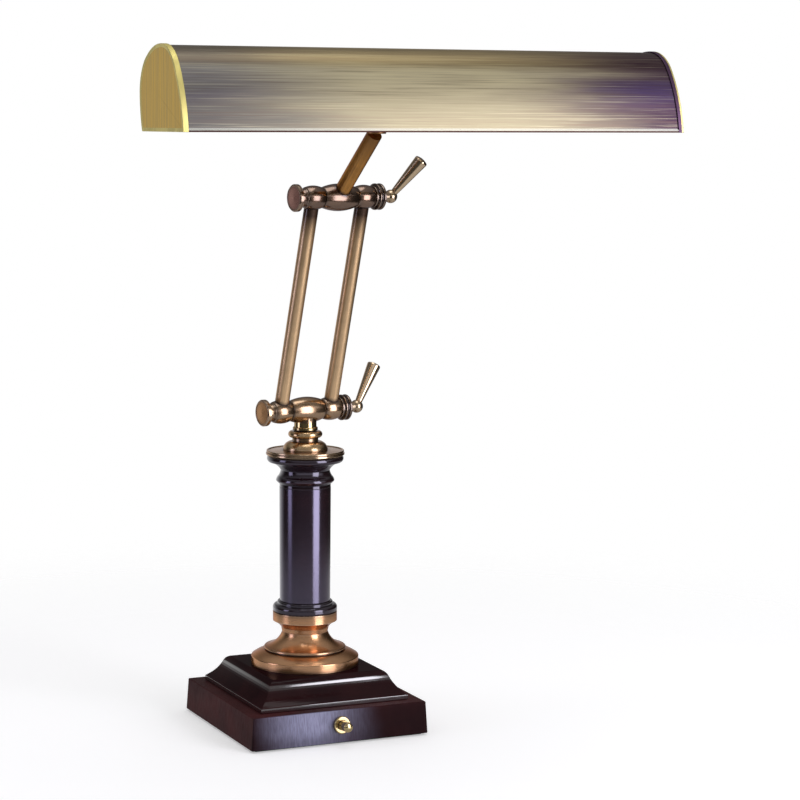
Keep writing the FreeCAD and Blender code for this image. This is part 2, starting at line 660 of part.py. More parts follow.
def base_plinth():
    """Cast square box, open below, with leaning sides, four screw lugs and holes for dimmer, cord and rod."""
    body = new_body("base_plinth")
    foot = new_sketch(body, "XY_Plane")
    rounded_square(foot, "dim.plinth_width", "dim.plinth_corner")
    block = extrude(body, "Pad", foot, "dim.plinth_height")
    block.TaperAngle = -number("dim.plinth_draft")
    block.setExpression("TaperAngle", "-dim.plinth_draft")
    doc.recompute()
    top = number("dim.plinth_height")
    rim = []
    for name, edge in enumerate(block.Shape.Edges, 1):
        if all(abs(corner.Z - top) < 0.001 for corner in edge.Vertexes):
            rim.append(f"Edge{name}")
    eased = body.newObject("PartDesign::Fillet", "base_plinth_fillet")
    eased.Base = (block, rim)
    eased.Radius = number("dim.plinth_edge")
    eased.setExpression("Radius", "dim.plinth_edge")
    body.Tip = eased
    hollow = new_sketch(body, "XY_Plane")
    add_outline(hollow, rectangle("dim.cavity_width", "dim.cavity_width"))
    extrude(body, "Pocket", hollow, "dim.cavity_height", flip=True)
    lugs = new_sketch(body, "XY_Plane", "dim.plate_thickness")
    for across, up in lug_places():
        add_circle(lugs, "dim.lug_radius", across, up)
    extrude(body, "Pad", lugs, "dim.cavity_height - dim.plate_thickness")
    holes = new_sketch(body, "XY_Plane", "dim.plate_thickness")
    for across, up in lug_places():
        add_circle(holes, "dim.screw_radius + dim.thread_gap", across, up)
    extrude(body, "Pocket", holes, "dim.screw_length", flip=True)
    round_bar(body, "Pocket", "XY_Plane", "dim.column_bore", "dim.plinth_height", flip=True)
    through = "2 * dim.plinth_wall"
    for height, radius, front in (
        ("dim.dimmer_height", "dim.bushing_radius + dim.thread_gap", True),
        ("dim.inlet_height", "dim.inlet_barrel + dim.seat_gap", False),
    ):
        face = f"dim.plinth_width / 2 - ({height}) * tan(dim.plinth_draft)"
        lean = Rotation(X_AXIS, -number("dim.plinth_draft"))
        tilt = lean if front else Rotation(Y_AXIS, 180) * lean
        lift = face if front else f"-({face})"
        round_bar(body, "Pocket", "XZ_Plane", radius, through, lift, height, tilt=tilt)
    return body


def weight_plate():
    """Iron slab under the plinth's roof, held by the column's rod."""
    body = new_body("weight_plate")
    sketch = new_sketch(body, "XY_Plane")
    add_outline(sketch, rectangle("dim.weight_length", "dim.weight_depth"))
    add_circle(sketch, "dim.column_bore")
    extrude(body, "Pad", sketch, "dim.weight_thickness")
    return body


def step_half_profile(side):
    """Right (side "") or left (side "-") run of the ogee, from the bottom up."""
    lip = "dim.step_width / 2"
    quirk = "dim.step_width / 2 - dim.step_lip_quirk"
    cove_foot = "dim.step_lip_height + dim.step_lip_quirk"
    return [
        (f"{side}({lip})", "0"),
        (f"{side}({lip})", "dim.step_lip_height"),
        (f"{side}({quirk})", cove_foot, "-dim.step_quirk_sweep"),
        (f"{side}(dim.step_cove_width / 2)", "dim.step_cove_height", "dim.step_cove_sweep"),
        (f"{side}(dim.step_top_width / 2)", "dim.step_height"),
    ]


def mirrored_run(run):
    """The same run met from the top down, for the left side of an outline."""
    back = []
    for place in range(len(run) - 1, -1, -1):
        corner = run[place][:2]
        before = run[place - 1] if place else ()
        back.append(corner + (before[2],) if len(before) == 3 else corner)
    return back


def base_step():
    """Ogee step: the profile is run left to right, then cut with the same profile front to back."""
    outline = step_half_profile("") + mirrored_run(step_half_profile("-"))
    body = new_body("base_step")
    run = new_sketch(body, "XZ_Plane")
    add_outline(run, outline)
    extrude(body, "Pad", run, "dim.step_width", centred=True)
    cut = new_sketch(body, "YZ_Plane")
    add_outline(cut, outline)
    add_outline(cut, rectangle("dim.step_width + dim.step_height", "4 * dim.step_height"))
    extrude(body, "Pocket", cut, "2 * dim.step_width", centred=True)
    core = new_sketch(body, "XY_Plane")
    add_outline(core, rectangle("dim.step_core", "dim.step_core"))
    extrude(body, "Pocket", core, "dim.step_height - dim.step_wall", flip=True)
    round_bar(body, "Pocket", "XY_Plane", "dim.column_bore", "dim.step_height", flip=True)
    return body


# ---------------------------------------------------------------------------------------------------------
# Column
# ---------------------------------------------------------------------------------------------------------


def foot_bell():
    """Spun brass foot: rim band, dome, bell with a quirked lip, flare, neck and band, cored from below."""
    quirk = "dim.bell_radius - dim.bell_quirk"
    rim_in = "dim.foot_radius - dim.foot_rim_edge"
    bell_in = "dim.bell_radius - dim.foot_rim_edge / 2"
    return turned(
        "foot_bell",
        [
            ("dim.foot_radius - dim.foot_wall", "0"),
            ("dim.foot_radius", "0"),
            ("dim.foot_radius", "dim.foot_rim_height", "dim.foot_rim_sweep"),
            (rim_in, "dim.foot_rim_height + dim.foot_rim_edge", "dim.foot_dome_sweep"),
            (quirk, "dim.bell_level - dim.foot_rim_edge"),
            (quirk, "dim.bell_level"),
            ("dim.bell_radius", "dim.bell_level", "dim.bell_lip_sweep"),
            (bell_in, "dim.bell_level + dim.bell_lip", "-dim.bell_sweep"),
            ("dim.foot_neck", "dim.foot_neck_level"),
            ("dim.foot_throat", "dim.foot_throat_level", "-dim.foot_flare_sweep"),
            ("dim.foot_band", "dim.foot_band_level"),
            ("dim.foot_band", "dim.foot_height"),
            ("dim.column_bore", "dim.foot_height"),
            ("dim.column_bore", "dim.foot_neck_level - dim.foot_wall"),
            ("dim.foot_neck - dim.foot_wall", "dim.foot_neck_level - dim.foot_wall"),
            ("dim.foot_neck - dim.foot_wall", "dim.bell_level + dim.foot_wall"),
            ("dim.bell_radius - 2 * dim.foot_wall", "dim.bell_level - dim.foot_wall"),
        ],
    )


def column_collar():
    """Dark collar between foot and tube, with a spigot that centres the tube."""
    spigot = "dim.tube_foot - dim.tube_wall - dim.seat_gap"
    return turned(
        "column_collar",
        [
            ("dim.column_bore", "0"),
            ("dim.foot_band - dim.foot_rim_edge", "0"),
            ("dim.foot_band - dim.foot_rim_edge", "dim.foot_rim_edge"),
            ("dim.collar_radius", "dim.foot_rim_edge"),
            ("dim.collar_radius", "dim.collar_band", "dim.collar_sweep"),
            ("dim.collar_step + dim.foot_rim_edge", "dim.collar_step_level"),
            ("dim.collar_step", "dim.collar_step_level"),
            ("dim.collar_step", "dim.collar_height - dim.foot_rim_edge", "dim.collar_edge_sweep"),
            ("dim.collar_step - dim.foot_rim_edge", "dim.collar_height"),
            (spigot, "dim.collar_height"),
            (spigot, "dim.collar_height + dim.register_height"),
            ("dim.column_bore", "dim.collar_height + dim.register_height"),
        ],
    )


def column_tube():
    return turned(
        "column_tube",
        [
            ("dim.tube_foot - dim.tube_wall", "0"),
            ("dim.tube_foot", "0"),
            ("dim.tube_head", "dim.tube_length"),
            ("dim.tube_foot - dim.tube_wall", "dim.tube_length"),
        ],
    )


def column_capital():
    """Dark turned capital: fillet, ring, neck and rim, with a spigot down into the tube."""
    spigot = "dim.tube_foot - dim.tube_wall - dim.seat_gap"
    hollow = f"{spigot} - dim.register_wall"
    bead_top = "dim.capital_ring_level + dim.capital_bead_height"
    return turned(
        "column_capital",
        [
            (hollow, "-dim.register_height"),
            (spigot, "-dim.register_height"),
            (spigot, "0"),
            ("dim.tube_head - dim.seat_gap", "0"),
            ("dim.tube_head - dim.seat_gap", "dim.capital_ring_level / 2", "dim.capital_ring_sweep"),
            ("dim.capital_ring", "dim.capital_ring_level", "dim.capital_bead_sweep"),
            ("dim.capital_neck + dim.capital_bead_in", bead_top, "-dim.capital_throat_sweep"),
            ("dim.capital_neck", "dim.capital_neck_level", "-dim.capital_flare_sweep"),
            ("dim.capital_rim - dim.capital_rim_in", "dim.capital_rim_level", "dim.capital_rim_sweep"),
            ("dim.capital_rim", "dim.capital_rim_level + dim.capital_rim_rise", "dim.capital_edge_sweep"),
            ("dim.capital_rim - dim.capital_top_in", "dim.capital_height - dim.capital_top_edge"),
            ("dim.capital_rim - dim.capital_top_in - dim.capital_top_edge", "dim.capital_height"),
            ("dim.shank_radius + dim.pass_gap", "dim.capital_height"),
            ("dim.shank_radius + dim.pass_gap", "dim.capital_neck_level"),
            ("dim.column_bore", "dim.capital_neck_level"),
            ("dim.column_bore", "dim.capital_ring_level"),
            (hollow, "dim.capital_ring_level"),
        ],
    )


def cap_disc():
    """Brass cap: two rims with a groove between, and a dished top."""
    groove_low = "dim.cap_height / 2 - dim.cap_groove / 2"
    groove_high = "dim.cap_height / 2 + dim.cap_groove / 2"
    rim_in = "dim.cap_upper_radius - 2 * dim.cap_dish"
    return turned(
        "cap_disc",
        [
            ("dim.shank_radius + dim.seat_gap", "0"),
            ("dim.cap_radius", "0"),
            ("dim.cap_radius", groove_low),
            ("dim.cap_upper_radius - dim.cap_groove", groove_low),
            ("dim.cap_upper_radius - dim.cap_groove", groove_high),
            ("dim.cap_upper_radius", groove_high),
            ("dim.cap_upper_radius", "dim.cap_height - dim.cap_edge"),
            ("dim.cap_upper_radius - dim.cap_edge", "dim.cap_height"),
            (rim_in, "dim.cap_height"),
            (f"{rim_in} - dim.cap_dish", "dim.cap_height - dim.cap_dish"),
            ("dim.cone_radius + dim.cap_dish", "dim.cap_height"),
            ("dim.shank_radius + dim.seat_gap", "dim.cap_height"),
        ],
    )


def swivel_socket():
    """Fixed half of the column swivel: shank on the rod, cone, groove and bead, bored for the spindle."""
    body = turned(
        "swivel_socket",
        [
            ("dim.rod_thread + dim.thread_gap", "-dim.shank_length"),
            ("dim.shank_radius", "-dim.shank_length"),
            ("dim.shank_radius", "0"),
            ("dim.cone_radius", "0"),
            ("dim.cone_radius", "dim.cone_foot", "dim.cone_sweep"),
            ("dim.cone_top_radius", "dim.cone_height"),
            ("dim.socket_groove", "dim.cone_height"),
            ("dim.socket_groove", "dim.bead_level"),
            ("dim.bead_reach - dim.bead_radius", "dim.bead_level", "90"),
            ("dim.bead_reach", "dim.bead_level + dim.bead_radius", "90"),
            ("dim.bead_reach - dim.bead_radius", "dim.socket_height"),
            ("dim.spindle_radius + dim.running_gap", "dim.socket_height"),
            ("dim.spindle_radius + dim.running_gap", "-dim.shank_length + dim.rod_engaged"),
            ("dim.rod_thread + dim.thread_gap", "-dim.shank_length + dim.rod_engaged"),
        ],
    )
    screw_hole(body, "dim.set_screw_level", "dim.cone_radius")
    return body


def screw_hole(body, height, reach):
    """Radial hole for a set screw, towards +Y."""
    hole = "dim.set_screw_radius + dim.thread_gap"
    round_bar(body, "Pocket", "XZ_Plane", hole, reach, "0", height)


def set_screw(label, tip, tail):
    """Headless screw that points at a swivel's groove, its axis along Y."""
    return turned(
        label,
        [
            ("0", tip),
            ("dim.set_screw_radius - dim.set_screw_point", tip),
            ("dim.set_screw_radius", f"{tip} + dim.set_screw_point"),
            ("dim.set_screw_radius", tail),
            ("0", tail),
        ],
    )


def column_rod():
    length = "dim.socket_level - dim.shank_length + dim.rod_engaged - dim.nut_level + dim.rod_below_nut"
    return ring("column_rod", "dim.rod_hole", "dim.rod_thread", length)


# ---------------------------------------------------------------------------------------------------------
# Dimmer and cord inlet, in the frame of the plinth's face: z points outward
# ---------------------------------------------------------------------------------------------------------


def wall_at(height):
    """Thickness of the plinth's side where the height is."""
    return f"dim.plinth_width / 2 - ({height}) * tan(dim.plinth_draft) - dim.cavity_width / 2"


def dimmer_case():
    front = f"-({wall_at('dim.dimmer_height')}) - dim.dimmer_stand"
    body = new_body("dimmer_case")
    box = new_sketch(body, "XY_Plane", front)
    add_outline(box, rectangle("dim.dimmer_width", "dim.dimmer_tall"))
    extrude(body, "Pad", box, "dim.dimmer_depth", flip=True)
    length = f"dim.ring_thickness - ({front}) - dim.joint_gap"
    round_bar(body, "Pad", "XY_Plane", "dim.bushing_radius", length, front)
    bore = "dim.shaft_radius + dim.running_gap"
    depth = "dim.ring_thickness + dim.plinth_wall + dim.dimmer_depth / 2"
    round_bar(body, "Pocket", "XY_Plane", bore, depth, "dim.ring_thickness")
    return body


def dimmer_ring():
    edge = "dim.ring_thickness / 3"
    inner = "dim.bushing_radius + dim.thread_gap"
    return turned(
        "dimmer_ring",
        [
            (inner, "0"),
            ("dim.ring_radius", "0"),
            ("dim.ring_radius", f"dim.ring_thickness - {edge}", "90"),
            (f"dim.ring_radius - {edge}", "dim.ring_thickness"),
            (inner, "dim.ring_thickness"),
        ],
    )


def dimmer_shaft():
    back = "dim.plinth_wall + dim.dimmer_depth / 3"
    body = new_body("dimmer_shaft")
    length = f"{back} + dim.knob_reach - dim.knob_cover"
    round_bar(body, "Pad", "XY_Plane", "dim.shaft_radius", length, f"-({back})")
    return body


def dimmer_knob():
    foot = "dim.ring_thickness + dim.joint_gap"
    bore = "dim.shaft_radius + dim.thread_gap"
    return turned(
        "dimmer_knob",
        [
            (bore, foot),
            ("dim.knob_radius - dim.knob_edge", foot),
            ("dim.knob_radius", f"{foot} + dim.knob_edge"),
            ("dim.knob_radius", "dim.knob_reach - dim.knob_dome", dome("dim.knob_dome", "dim.knob_radius")),
            ("0", "dim.knob_reach"),
            ("0", "dim.knob_reach - dim.knob_cover"),
            (bore, "dim.knob_reach - dim.knob_cover"),
        ],
    )


def cord_inlet():
    flange = "dim.inlet_flange_height"
    return turned(
        "cord_inlet",
        [
            ("dim.inlet_bore", "-dim.inlet_length"),
            ("dim.inlet_barrel", "-dim.inlet_length"),
            ("dim.inlet_barrel", "0"),
            ("dim.inlet_flange", "0"),
            ("dim.inlet_flange", f"{flange} / 2", "dim.inlet_sweep"),
            (f"dim.inlet_flange - {flange} / 2", flange),
            ("dim.inlet_bore", flange),
        ],
    )


# ---------------------------------------------------------------------------------------------------------
# Arms: barrels lie along X with their middle at the origin
# ---------------------------------------------------------------------------------------------------------


def barrel_outline(half, sweep, inner):
    """Half section of a swelling barrel with eased ends, about X."""
    shoulder = "dim.hub_end_radius"
    eased = "dim.hub_end_radius - dim.hub_edge"
    return [
        (f"-({half})", inner),
        (f"{half}", inner),
        (f"{half}", eased),
        (f"{half} - dim.hub_edge", shoulder, sweep),
        (f"-({half}) + dim.hub_edge", shoulder),
        (f"-({half})", eased),
    ]


def centre_outline(inner="dim.bolt_bore"):
    return barrel_outline("dim.centre_hub_half", "dim.centre_hub_sweep", inner)


def side_outline(inner="dim.bolt_bore"):
    return barrel_outline("dim.side_hub_width / 2", "dim.side_hub_sweep", inner)


def side_hub(label):
    """Barrel with a cross hole for the rod's spigot, along +Z."""
    body = turned(label, side_outline(), "H_Axis")
    hole = "dim.spigot_radius + dim.thread_gap"
    round_bar(body, "Pocket", "XY_Plane", hole, "2 * dim.hub_end_radius", flip=True)
    return body


def arm_rod(label):
    """Rod with both ends coped to the hubs and a spigot into each."""
    body = turned(
        label,
        [("0", "0"), ("dim.rod_radius", "0"), ("dim.rod_radius", "dim.arm_length"), ("0", "dim.arm_length")],
    )
    for height in ("0", "dim.arm_length"):
        revolve(body, side_outline("0"), "H_Axis", "Groove", slide=height)
    inset = "dim.bolt_bore + dim.joint_gap"
    length = f"dim.arm_length - 2 * ({inset})"
    round_bar(body, "Pad", "XY_Plane", "dim.spigot_radius", length, inset)
    return body


def lower_yoke():
    """Centre barrel on a post, with the spindle of the column swivel under it."""
    body = turned("lower_yoke", centre_outline(), "H_Axis")
    ring_foot = "-dim.post_height + dim.joint_gap"
    ring_head = f"{ring_foot} + dim.post_ring_height"
    ring_in = "dim.post_ring - dim.post_ring_edge"
    groove = "-dim.post_height - dim.socket_height + dim.set_screw_level"
    play = "dim.set_screw_radius + dim.groove_play"
    foot = f"{ring_foot} - dim.spindle_length"
    shoulder = "-dim.bolt_bore - dim.hub_edge * 2"
    revolve(
        body,
        [
            ("0", foot),
            ("dim.spindle_radius", foot),
            ("dim.spindle_radius", f"{groove} - ({play})"),
            ("dim.spindle_groove", f"{groove} - ({play})"),
            ("dim.spindle_groove", f"{groove} + ({play})"),
            ("dim.spindle_radius", f"{groove} + ({play})"),
            ("dim.spindle_radius", ring_foot),
            (ring_in, ring_foot),
            ("dim.post_ring", f"{ring_foot} + dim.post_ring_edge"),
            ("dim.post_ring", f"{ring_head} - dim.post_ring_edge"),
            (ring_in, ring_head),
            ("dim.post_radius", ring_head),
            ("dim.post_radius", shoulder),
            ("0", shoulder),
        ],
    )
    reach = "dim.post_height + dim.spindle_length"
    round_bar(body, "Pocket", "XY_Plane", "dim.wire_bore", reach)
    return body


def upper_hub():
    """Centre barrel with a cross hole for the stem."""
    body = turned("upper_centre_hub", centre_outline(), "H_Axis")
    hole = "dim.stem_spigot + dim.thread_gap"
    round_bar(body, "Pocket", "XY_Plane", hole, "2 * dim.hub_end_radius", flip=True)
    return body


def pivot_bolt(label):
    """Bolt with a chamfered disc head and a flared neck at the left, and a thinner end inside the lever."""
    neck = "-dim.hub_outer_face - dim.bolt_neck_length"
    head = f"{neck} - dim.bolt_head_height"
    shoulder = "dim.lever_face - dim.joint_gap"
    end = "dim.bolt_end - dim.joint_gap"
    chamfer = "dim.bolt_head_chamfer"
    return turned(
        label,
        [
            (head, "0"),
            (f"{head} + dim.bolt_line", f"dim.bolt_head_radius - 2 * {chamfer}"),
            (head, f"dim.bolt_head_radius - 1.5 * {chamfer}"),
            (head, f"dim.bolt_head_radius - {chamfer}"),
            (f"{head} + {chamfer}", "dim.bolt_head_radius"),
            (neck, "dim.bolt_head_radius"),
            (neck, "dim.bolt_neck_radius", "dim.bolt_neck_sweep"),
            ("-dim.hub_outer_face", "dim.hub_end_radius - dim.hub_edge"),
            ("-dim.hub_outer_face", "dim.bolt_radius"),
            (shoulder, "dim.bolt_radius"),
            (shoulder, "dim.bolt_tail"),
            (end, "dim.bolt_tail"),
            (end, "0"),
        ],
        "H_Axis",
    )


def spring_washer(label):
    near, far = "dim.hub_outer_face", "dim.tension_face"
    return turned(
        label,
        [
            (near, "dim.bolt_bore"),
            (far, "dim.bolt_bore"),
            (far, "dim.spring_radius"),
            (near, "dim.spring_radius"),
        ],
        "H_Axis",
    )


def tension_collar(label):
    """Round nut with a groove between two rounded rings."""
    near = "dim.tension_face"
    far = "dim.tension_face + dim.tension_length"
    middle = "dim.tension_face + dim.tension_length / 2"
    floor = "dim.tension_radius - dim.tension_groove"
    edge = "dim.tension_groove / 2"
    brink = "dim.tension_radius - dim.tension_taper"
    return turned(
        label,
        [
            (near, "dim.bolt_bore"),
            (far, "dim.bolt_bore"),
            (far, floor),
            (f"{far} - {edge}", "dim.tension_radius", "dim.tension_sweep"),
            (f"{middle} + dim.tension_groove_width / 2", brink),
            (f"{middle} + dim.tension_groove_width / 4", floor),
            (f"{middle} - dim.tension_groove_width / 4", floor),
            (f"{middle} - dim.tension_groove_width / 2", brink, "dim.tension_sweep"),
            (f"{near} + {edge}", "dim.tension_radius"),
            (near, floor),
        ],
        "H_Axis",
    )


def lever(label):
    """Tension lever: a ball and neck bored blind for the bolt, and a tapered arm that leans outward."""
    near = "dim.lever_face"
    tip = "(dim.lever_end - dim.lever_edge)"
    ball = turned(
        label + "_ball",
        [
            (near, "0"),
            ("dim.ball_level + dim.ball_radius", "0", "dim.ball_sweep"),
            ("dim.ball_level - dim.ball_rise", "dim.lever_neck"),
            (near, "dim.lever_neck"),
        ],
        "H_Axis",
    )
    arm = turned(
        label + "_arm",
        [
            ("0", "0"),
            ("dim.lever_root", "0"),
            ("dim.lever_end", "dim.lever_length - dim.lever_dome - 2 * dim.lever_edge"),
            (tip, "dim.lever_length - dim.lever_dome", dome("dim.lever_dome", tip)),
            ("0", "dim.lever_length"),
        ],
    )
    root = Vector(number("dim.ball_level"), 0, 0)
    arm.Placement = Placement(root, Rotation(Y_AXIS, 90 - number("dim.lever_angle")))
    bore = new_body(label + "_bore")
    depth = f"dim.bolt_end - {near}"
    round_bar(bore, "Pad", "YZ_Plane", "dim.bolt_tail + dim.running_gap", depth, near)
    solid = doc.addObject("Part::MultiFuse", label + "_solid")
    solid.Shapes = [ball, arm]
    whole = doc.addObject("Part::Cut", label)
    whole.Base = solid
    whole.Tool = bore
    whole.Label = label
    return whole


# ---------------------------------------------------------------------------------------------------------
# Stem and shade swivel
# ---------------------------------------------------------------------------------------------------------


def stem(placement, swivel):
    """Stem coped to the upper hub, brazed to the upright head that carries the shade swivel's spindle."""
    tube = new_body("stem_bar")
    length = "dim.stem_length - dim.stem_setback"
    revolve(tube, [("0", "0"), ("dim.stem_radius", "0"), ("dim.stem_radius", length), ("0", length)])
    revolve(tube, centre_outline("0"), "H_Axis", "Groove")
    inset = "dim.bolt_bore + dim.joint_gap"
    round_bar(tube, "Pad", "XY_Plane", "dim.stem_spigot", f"{length} - ({inset})", inset)
    tube.Placement = placement
    play = "dim.set_screw_radius + dim.groove_play"
    head = turned(
        "stem_head",
        [
            ("0", "-dim.head_below"),
            ("dim.head_radius - dim.head_edge", "-dim.head_below"),
            ("dim.head_radius", "-dim.head_below + dim.head_edge"),
            ("dim.head_radius", "dim.head_above"),
            ("dim.pin_radius", "dim.head_above"),
            ("dim.pin_radius", f"dim.pin_screw_level - ({play})"),
            ("dim.pin_groove", f"dim.pin_screw_level - ({play})"),
            ("dim.pin_groove", f"dim.pin_screw_level + ({play})"),
            ("dim.pin_radius", f"dim.pin_screw_level + ({play})"),
            ("dim.pin_radius", "dim.pin_top"),
            ("0", "dim.pin_top"),
        ],
    )
    head.Placement = swivel
    whole = doc.addObject("Part::MultiFuse", "stem")
    whole.Shapes = [tube, head]
    whole.Label = "stem"
    return whole


def swivel_block():
    """Turning half of the shade swivel: blind bore on the spindle and a boss for the nipple."""
    bore = "dim.pin_radius + dim.running_gap"
    foot = "dim.head_above + dim.joint_gap"
    roof = "dim.pin_top + dim.joint_gap"
    top_sweep = dome("dim.block_dome", "dim.block_radius")
    body = turned(
        "shade_swivel_block",
        [
            (bore, foot),
            ("dim.block_radius", foot),
            ("dim.block_radius", "dim.block_top - dim.block_dome", top_sweep),
            ("0", "dim.block_top"),
            ("0", roof),
            (bore, roof),
        ],
    )
    start = "dim.pin_radius + dim.joint_gap"
    boss = f"dim.block_boss_reach - ({start})"
    round_bar(body, "Pad", "XZ_Plane", "dim.block_boss", boss, start, "dim.nipple_level")
    hole = "dim.rod_thread + dim.thread_gap"
    length = "dim.block_boss_reach + dim.nipple_inset"
    round_bar(body, "Pocket", "XZ_Plane", hole, length, "-dim.nipple_inset", "dim.nipple_level", flip=True)
    screw_hole(body, "dim.pin_screw_level", "dim.block_radius")
    return body


def wall_face():
    """Outside of the shade's back wall, from the shade's middle."""
    return "(dim.shade_bulge - dim.shade_chord / 2)"


def along_y(distance):
    """Placement at the nipple's level, z turned to point back (+Y)."""
    base = Vector(0, number(distance), number("dim.nipple_level"))
    return Placement(base, Rotation(X_AXIS, -90))


def shade_nipple():
    length = "dim.shade_offset + dim.nipple_inset - dim.nipple_past"
    return ring("shade_nipple", "dim.rod_hole", "dim.rod_thread", length)


def nipple_spacer():
    length = f"dim.shade_offset - dim.block_boss_reach - {wall_face()} - dim.lock_washer_height"
    return ring("nipple_spacer", "dim.rod_thread + dim.seat_gap", "dim.block_boss", length)


def lock_washer(label):
    return ring(label, "dim.rod_thread + dim.seat_gap", "dim.lock_washer_radius", "dim.lock_washer_height")


# ---------------------------------------------------------------------------------------------------------
# Shade: the section lies in the YZ plane, front edge at -Y, bottom edge at z = 0
# ---------------------------------------------------------------------------------------------------------


def section_run(inset):
    """The sheet's section from the front bottom edge over the ridge to the back one, moved in by an inset."""

    def corner(across, up, out_across, out_up, sweep=None):
        place = (
            f"({across}) - dim.shade_chord / 2 - ({inset}) * ({out_across})",
            f"({up}) - ({inset}) * ({out_up})" if up != "0" else "0",
        )
        return place + (sweep,) if sweep else place

    brow = ("-sin(dim.brow_sweep)", "cos(dim.brow_sweep)")
    hip = ("sin(dim.crown_sweep)", "cos(dim.crown_sweep)")
    return [
        corner("0", "0", "-1", "0", "-dim.front_sweep"),
        corner("dim.shade_brow", "dim.shade_brow_level", *brow, "-dim.brow_sweep"),
        corner("dim.shade_ridge", "dim.shade_height", "0", "1", "-dim.crown_sweep"),
        corner("dim.shade_hip", "dim.shade_hip_level", *hip, "-dim.hip_sweep"),
        corner("dim.shade_bulge", "dim.shade_bulge_level", "1", "0", "-dim.skirt_sweep"),
        corner("dim.shade_chord", "0", "1", "0"),
    ]


def section_back(inset):
    """The same run met from back to front."""
    run = section_run(inset)
    back = []
    for place in range(len(run) - 1, -1, -1):
        corner = run[place][:2]
        before = run[place - 1] if place else ()
        back.append(corner + (f"-({before[2]})",) if len(before) == 3 else corner)
    return back


def shade_shell():
    """Bent sheet with a hem along both bottom edges and the nipple's hole in the back wall."""
    body = new_body("shade_shell")
    sheet_section = new_sketch(body, "YZ_Plane")
    add_outline(sheet_section, section_run("0") + section_back("dim.shade_wall"))
    length = "dim.overall_width - 2 * dim.cap_sheet"
    extrude(body, "Pad", sheet_section, length, centred=True)
    hems = new_sketch(body, "YZ_Plane")
    for side, out in (("-", "-"), ("", "")):
        edge = f"{side}(dim.shade_chord / 2)"
        inner = f"{edge} - ({out}1) * dim.shade_wall"
        outer = f"{edge} + ({out}1) * dim.hem_out"
        add_outline(hems, [(inner, "0"), (outer, "0"), (outer, "dim.hem_height"), (inner, "dim.hem_height")])
    extrude(body, "Pad", hems, f"{length} - 2 * dim.cap_lip", centred=True)
    hole = "dim.rod_thread + dim.seat_gap"
    round_bar(body, "Pocket", "XZ_Plane", hole, "dim.shade_chord", "0", "dim.nipple_level")
    return body


def end_cap(label, right):
    """End sheet with a lip over the shell; its outer face lies at x = 0."""
    body = new_body(label)
    outside = "-dim.cap_over"
    face = new_sketch(body, "YZ_Plane")
    add_outline(face, section_run(outside))
    extrude(body, "Pad", face, "dim.cap_sheet + dim.cap_lip", flip=right)
    inside = new_sketch(body, "YZ_Plane", "-dim.cap_sheet" if right else "dim.cap_sheet")
    add_outline(inside, section_run("-dim.thread_gap"))
    extrude(body, "Pocket", inside, "dim.cap_lip", flip=not right)
    return body


# ---------------------------------------------------------------------------------------------------------
# Lamp holders and lamps, along X from the cluster's end face
# ---------------------------------------------------------------------------------------------------------


def cluster_body():
    """Cross-shaped body on the nipple's end, with a holder screwed into each side."""
    half = "dim.cluster_half"
    edge = "dim.cluster_edge"
    bore = "dim.holder_shank + dim.thread_gap"
    body = turned(
        "cluster_body",
        [
            (f"-{half}", bore),
            (half, bore),
            (half, f"dim.cluster_radius - {edge}"),
            (f"{half} - {edge}", "dim.cluster_radius"),
            (f"-{half} + {edge}", "dim.cluster_radius"),
            (f"-{half}", f"dim.cluster_radius - {edge}"),
        ],
        "H_Axis",
    )
    reach = "dim.cluster_boss_reach - dim.holder_shank - dim.cluster_boss / 4"
    start = "-dim.holder_shank - dim.cluster_boss / 4"
    round_bar(body, "Pad", "XZ_Plane", "dim.cluster_boss", reach, start, flip=True)
    hole = "dim.rod_thread + dim.thread_gap"
    round_bar(body, "Pocket", "XZ_Plane", hole, "dim.cluster_boss_reach")
    return body


def lamp_holder(label):
    inside = "dim.holder_radius - dim.holder_wall"
    return turned(
        label,
        [
            ("-dim.holder_shank_length", "dim.rod_hole"),
            ("dim.holder_floor", "dim.rod_hole"),
            ("dim.holder_floor", inside),
            ("dim.holder_length", inside),
            ("dim.holder_length", "dim.holder_radius"),
            ("dim.holder_floor / 2", "dim.holder_radius"),
            ("0", "dim.holder_radius - dim.holder_floor / 2"),
            ("0", "dim.holder_shank"),
            ("-dim.holder_shank_length", "dim.holder_shank"),
        ],
        "H_Axis",
    )


def lamp_cap(label):
    """Screw cap of a lamp: floor with a contact, and a thin wall."""
    foot = "dim.holder_floor"
    rim = "dim.holder_floor + dim.lamp_cap_length"
    floor = "dim.holder_floor + dim.lamp_cap_floor"
    inside = "dim.lamp_cap_radius - dim.lamp_cap_wall"
    return turned(
        label,
        [
            (foot, "0"),
            (foot, "dim.lamp_contact_radius"),
            (f"{foot} + dim.lamp_shell_level", "dim.lamp_cap_radius"),
            (rim, "dim.lamp_cap_radius"),
            (rim, inside),
            (floor, inside),
            (floor, "0"),
        ],
        "H_Axis",
    )


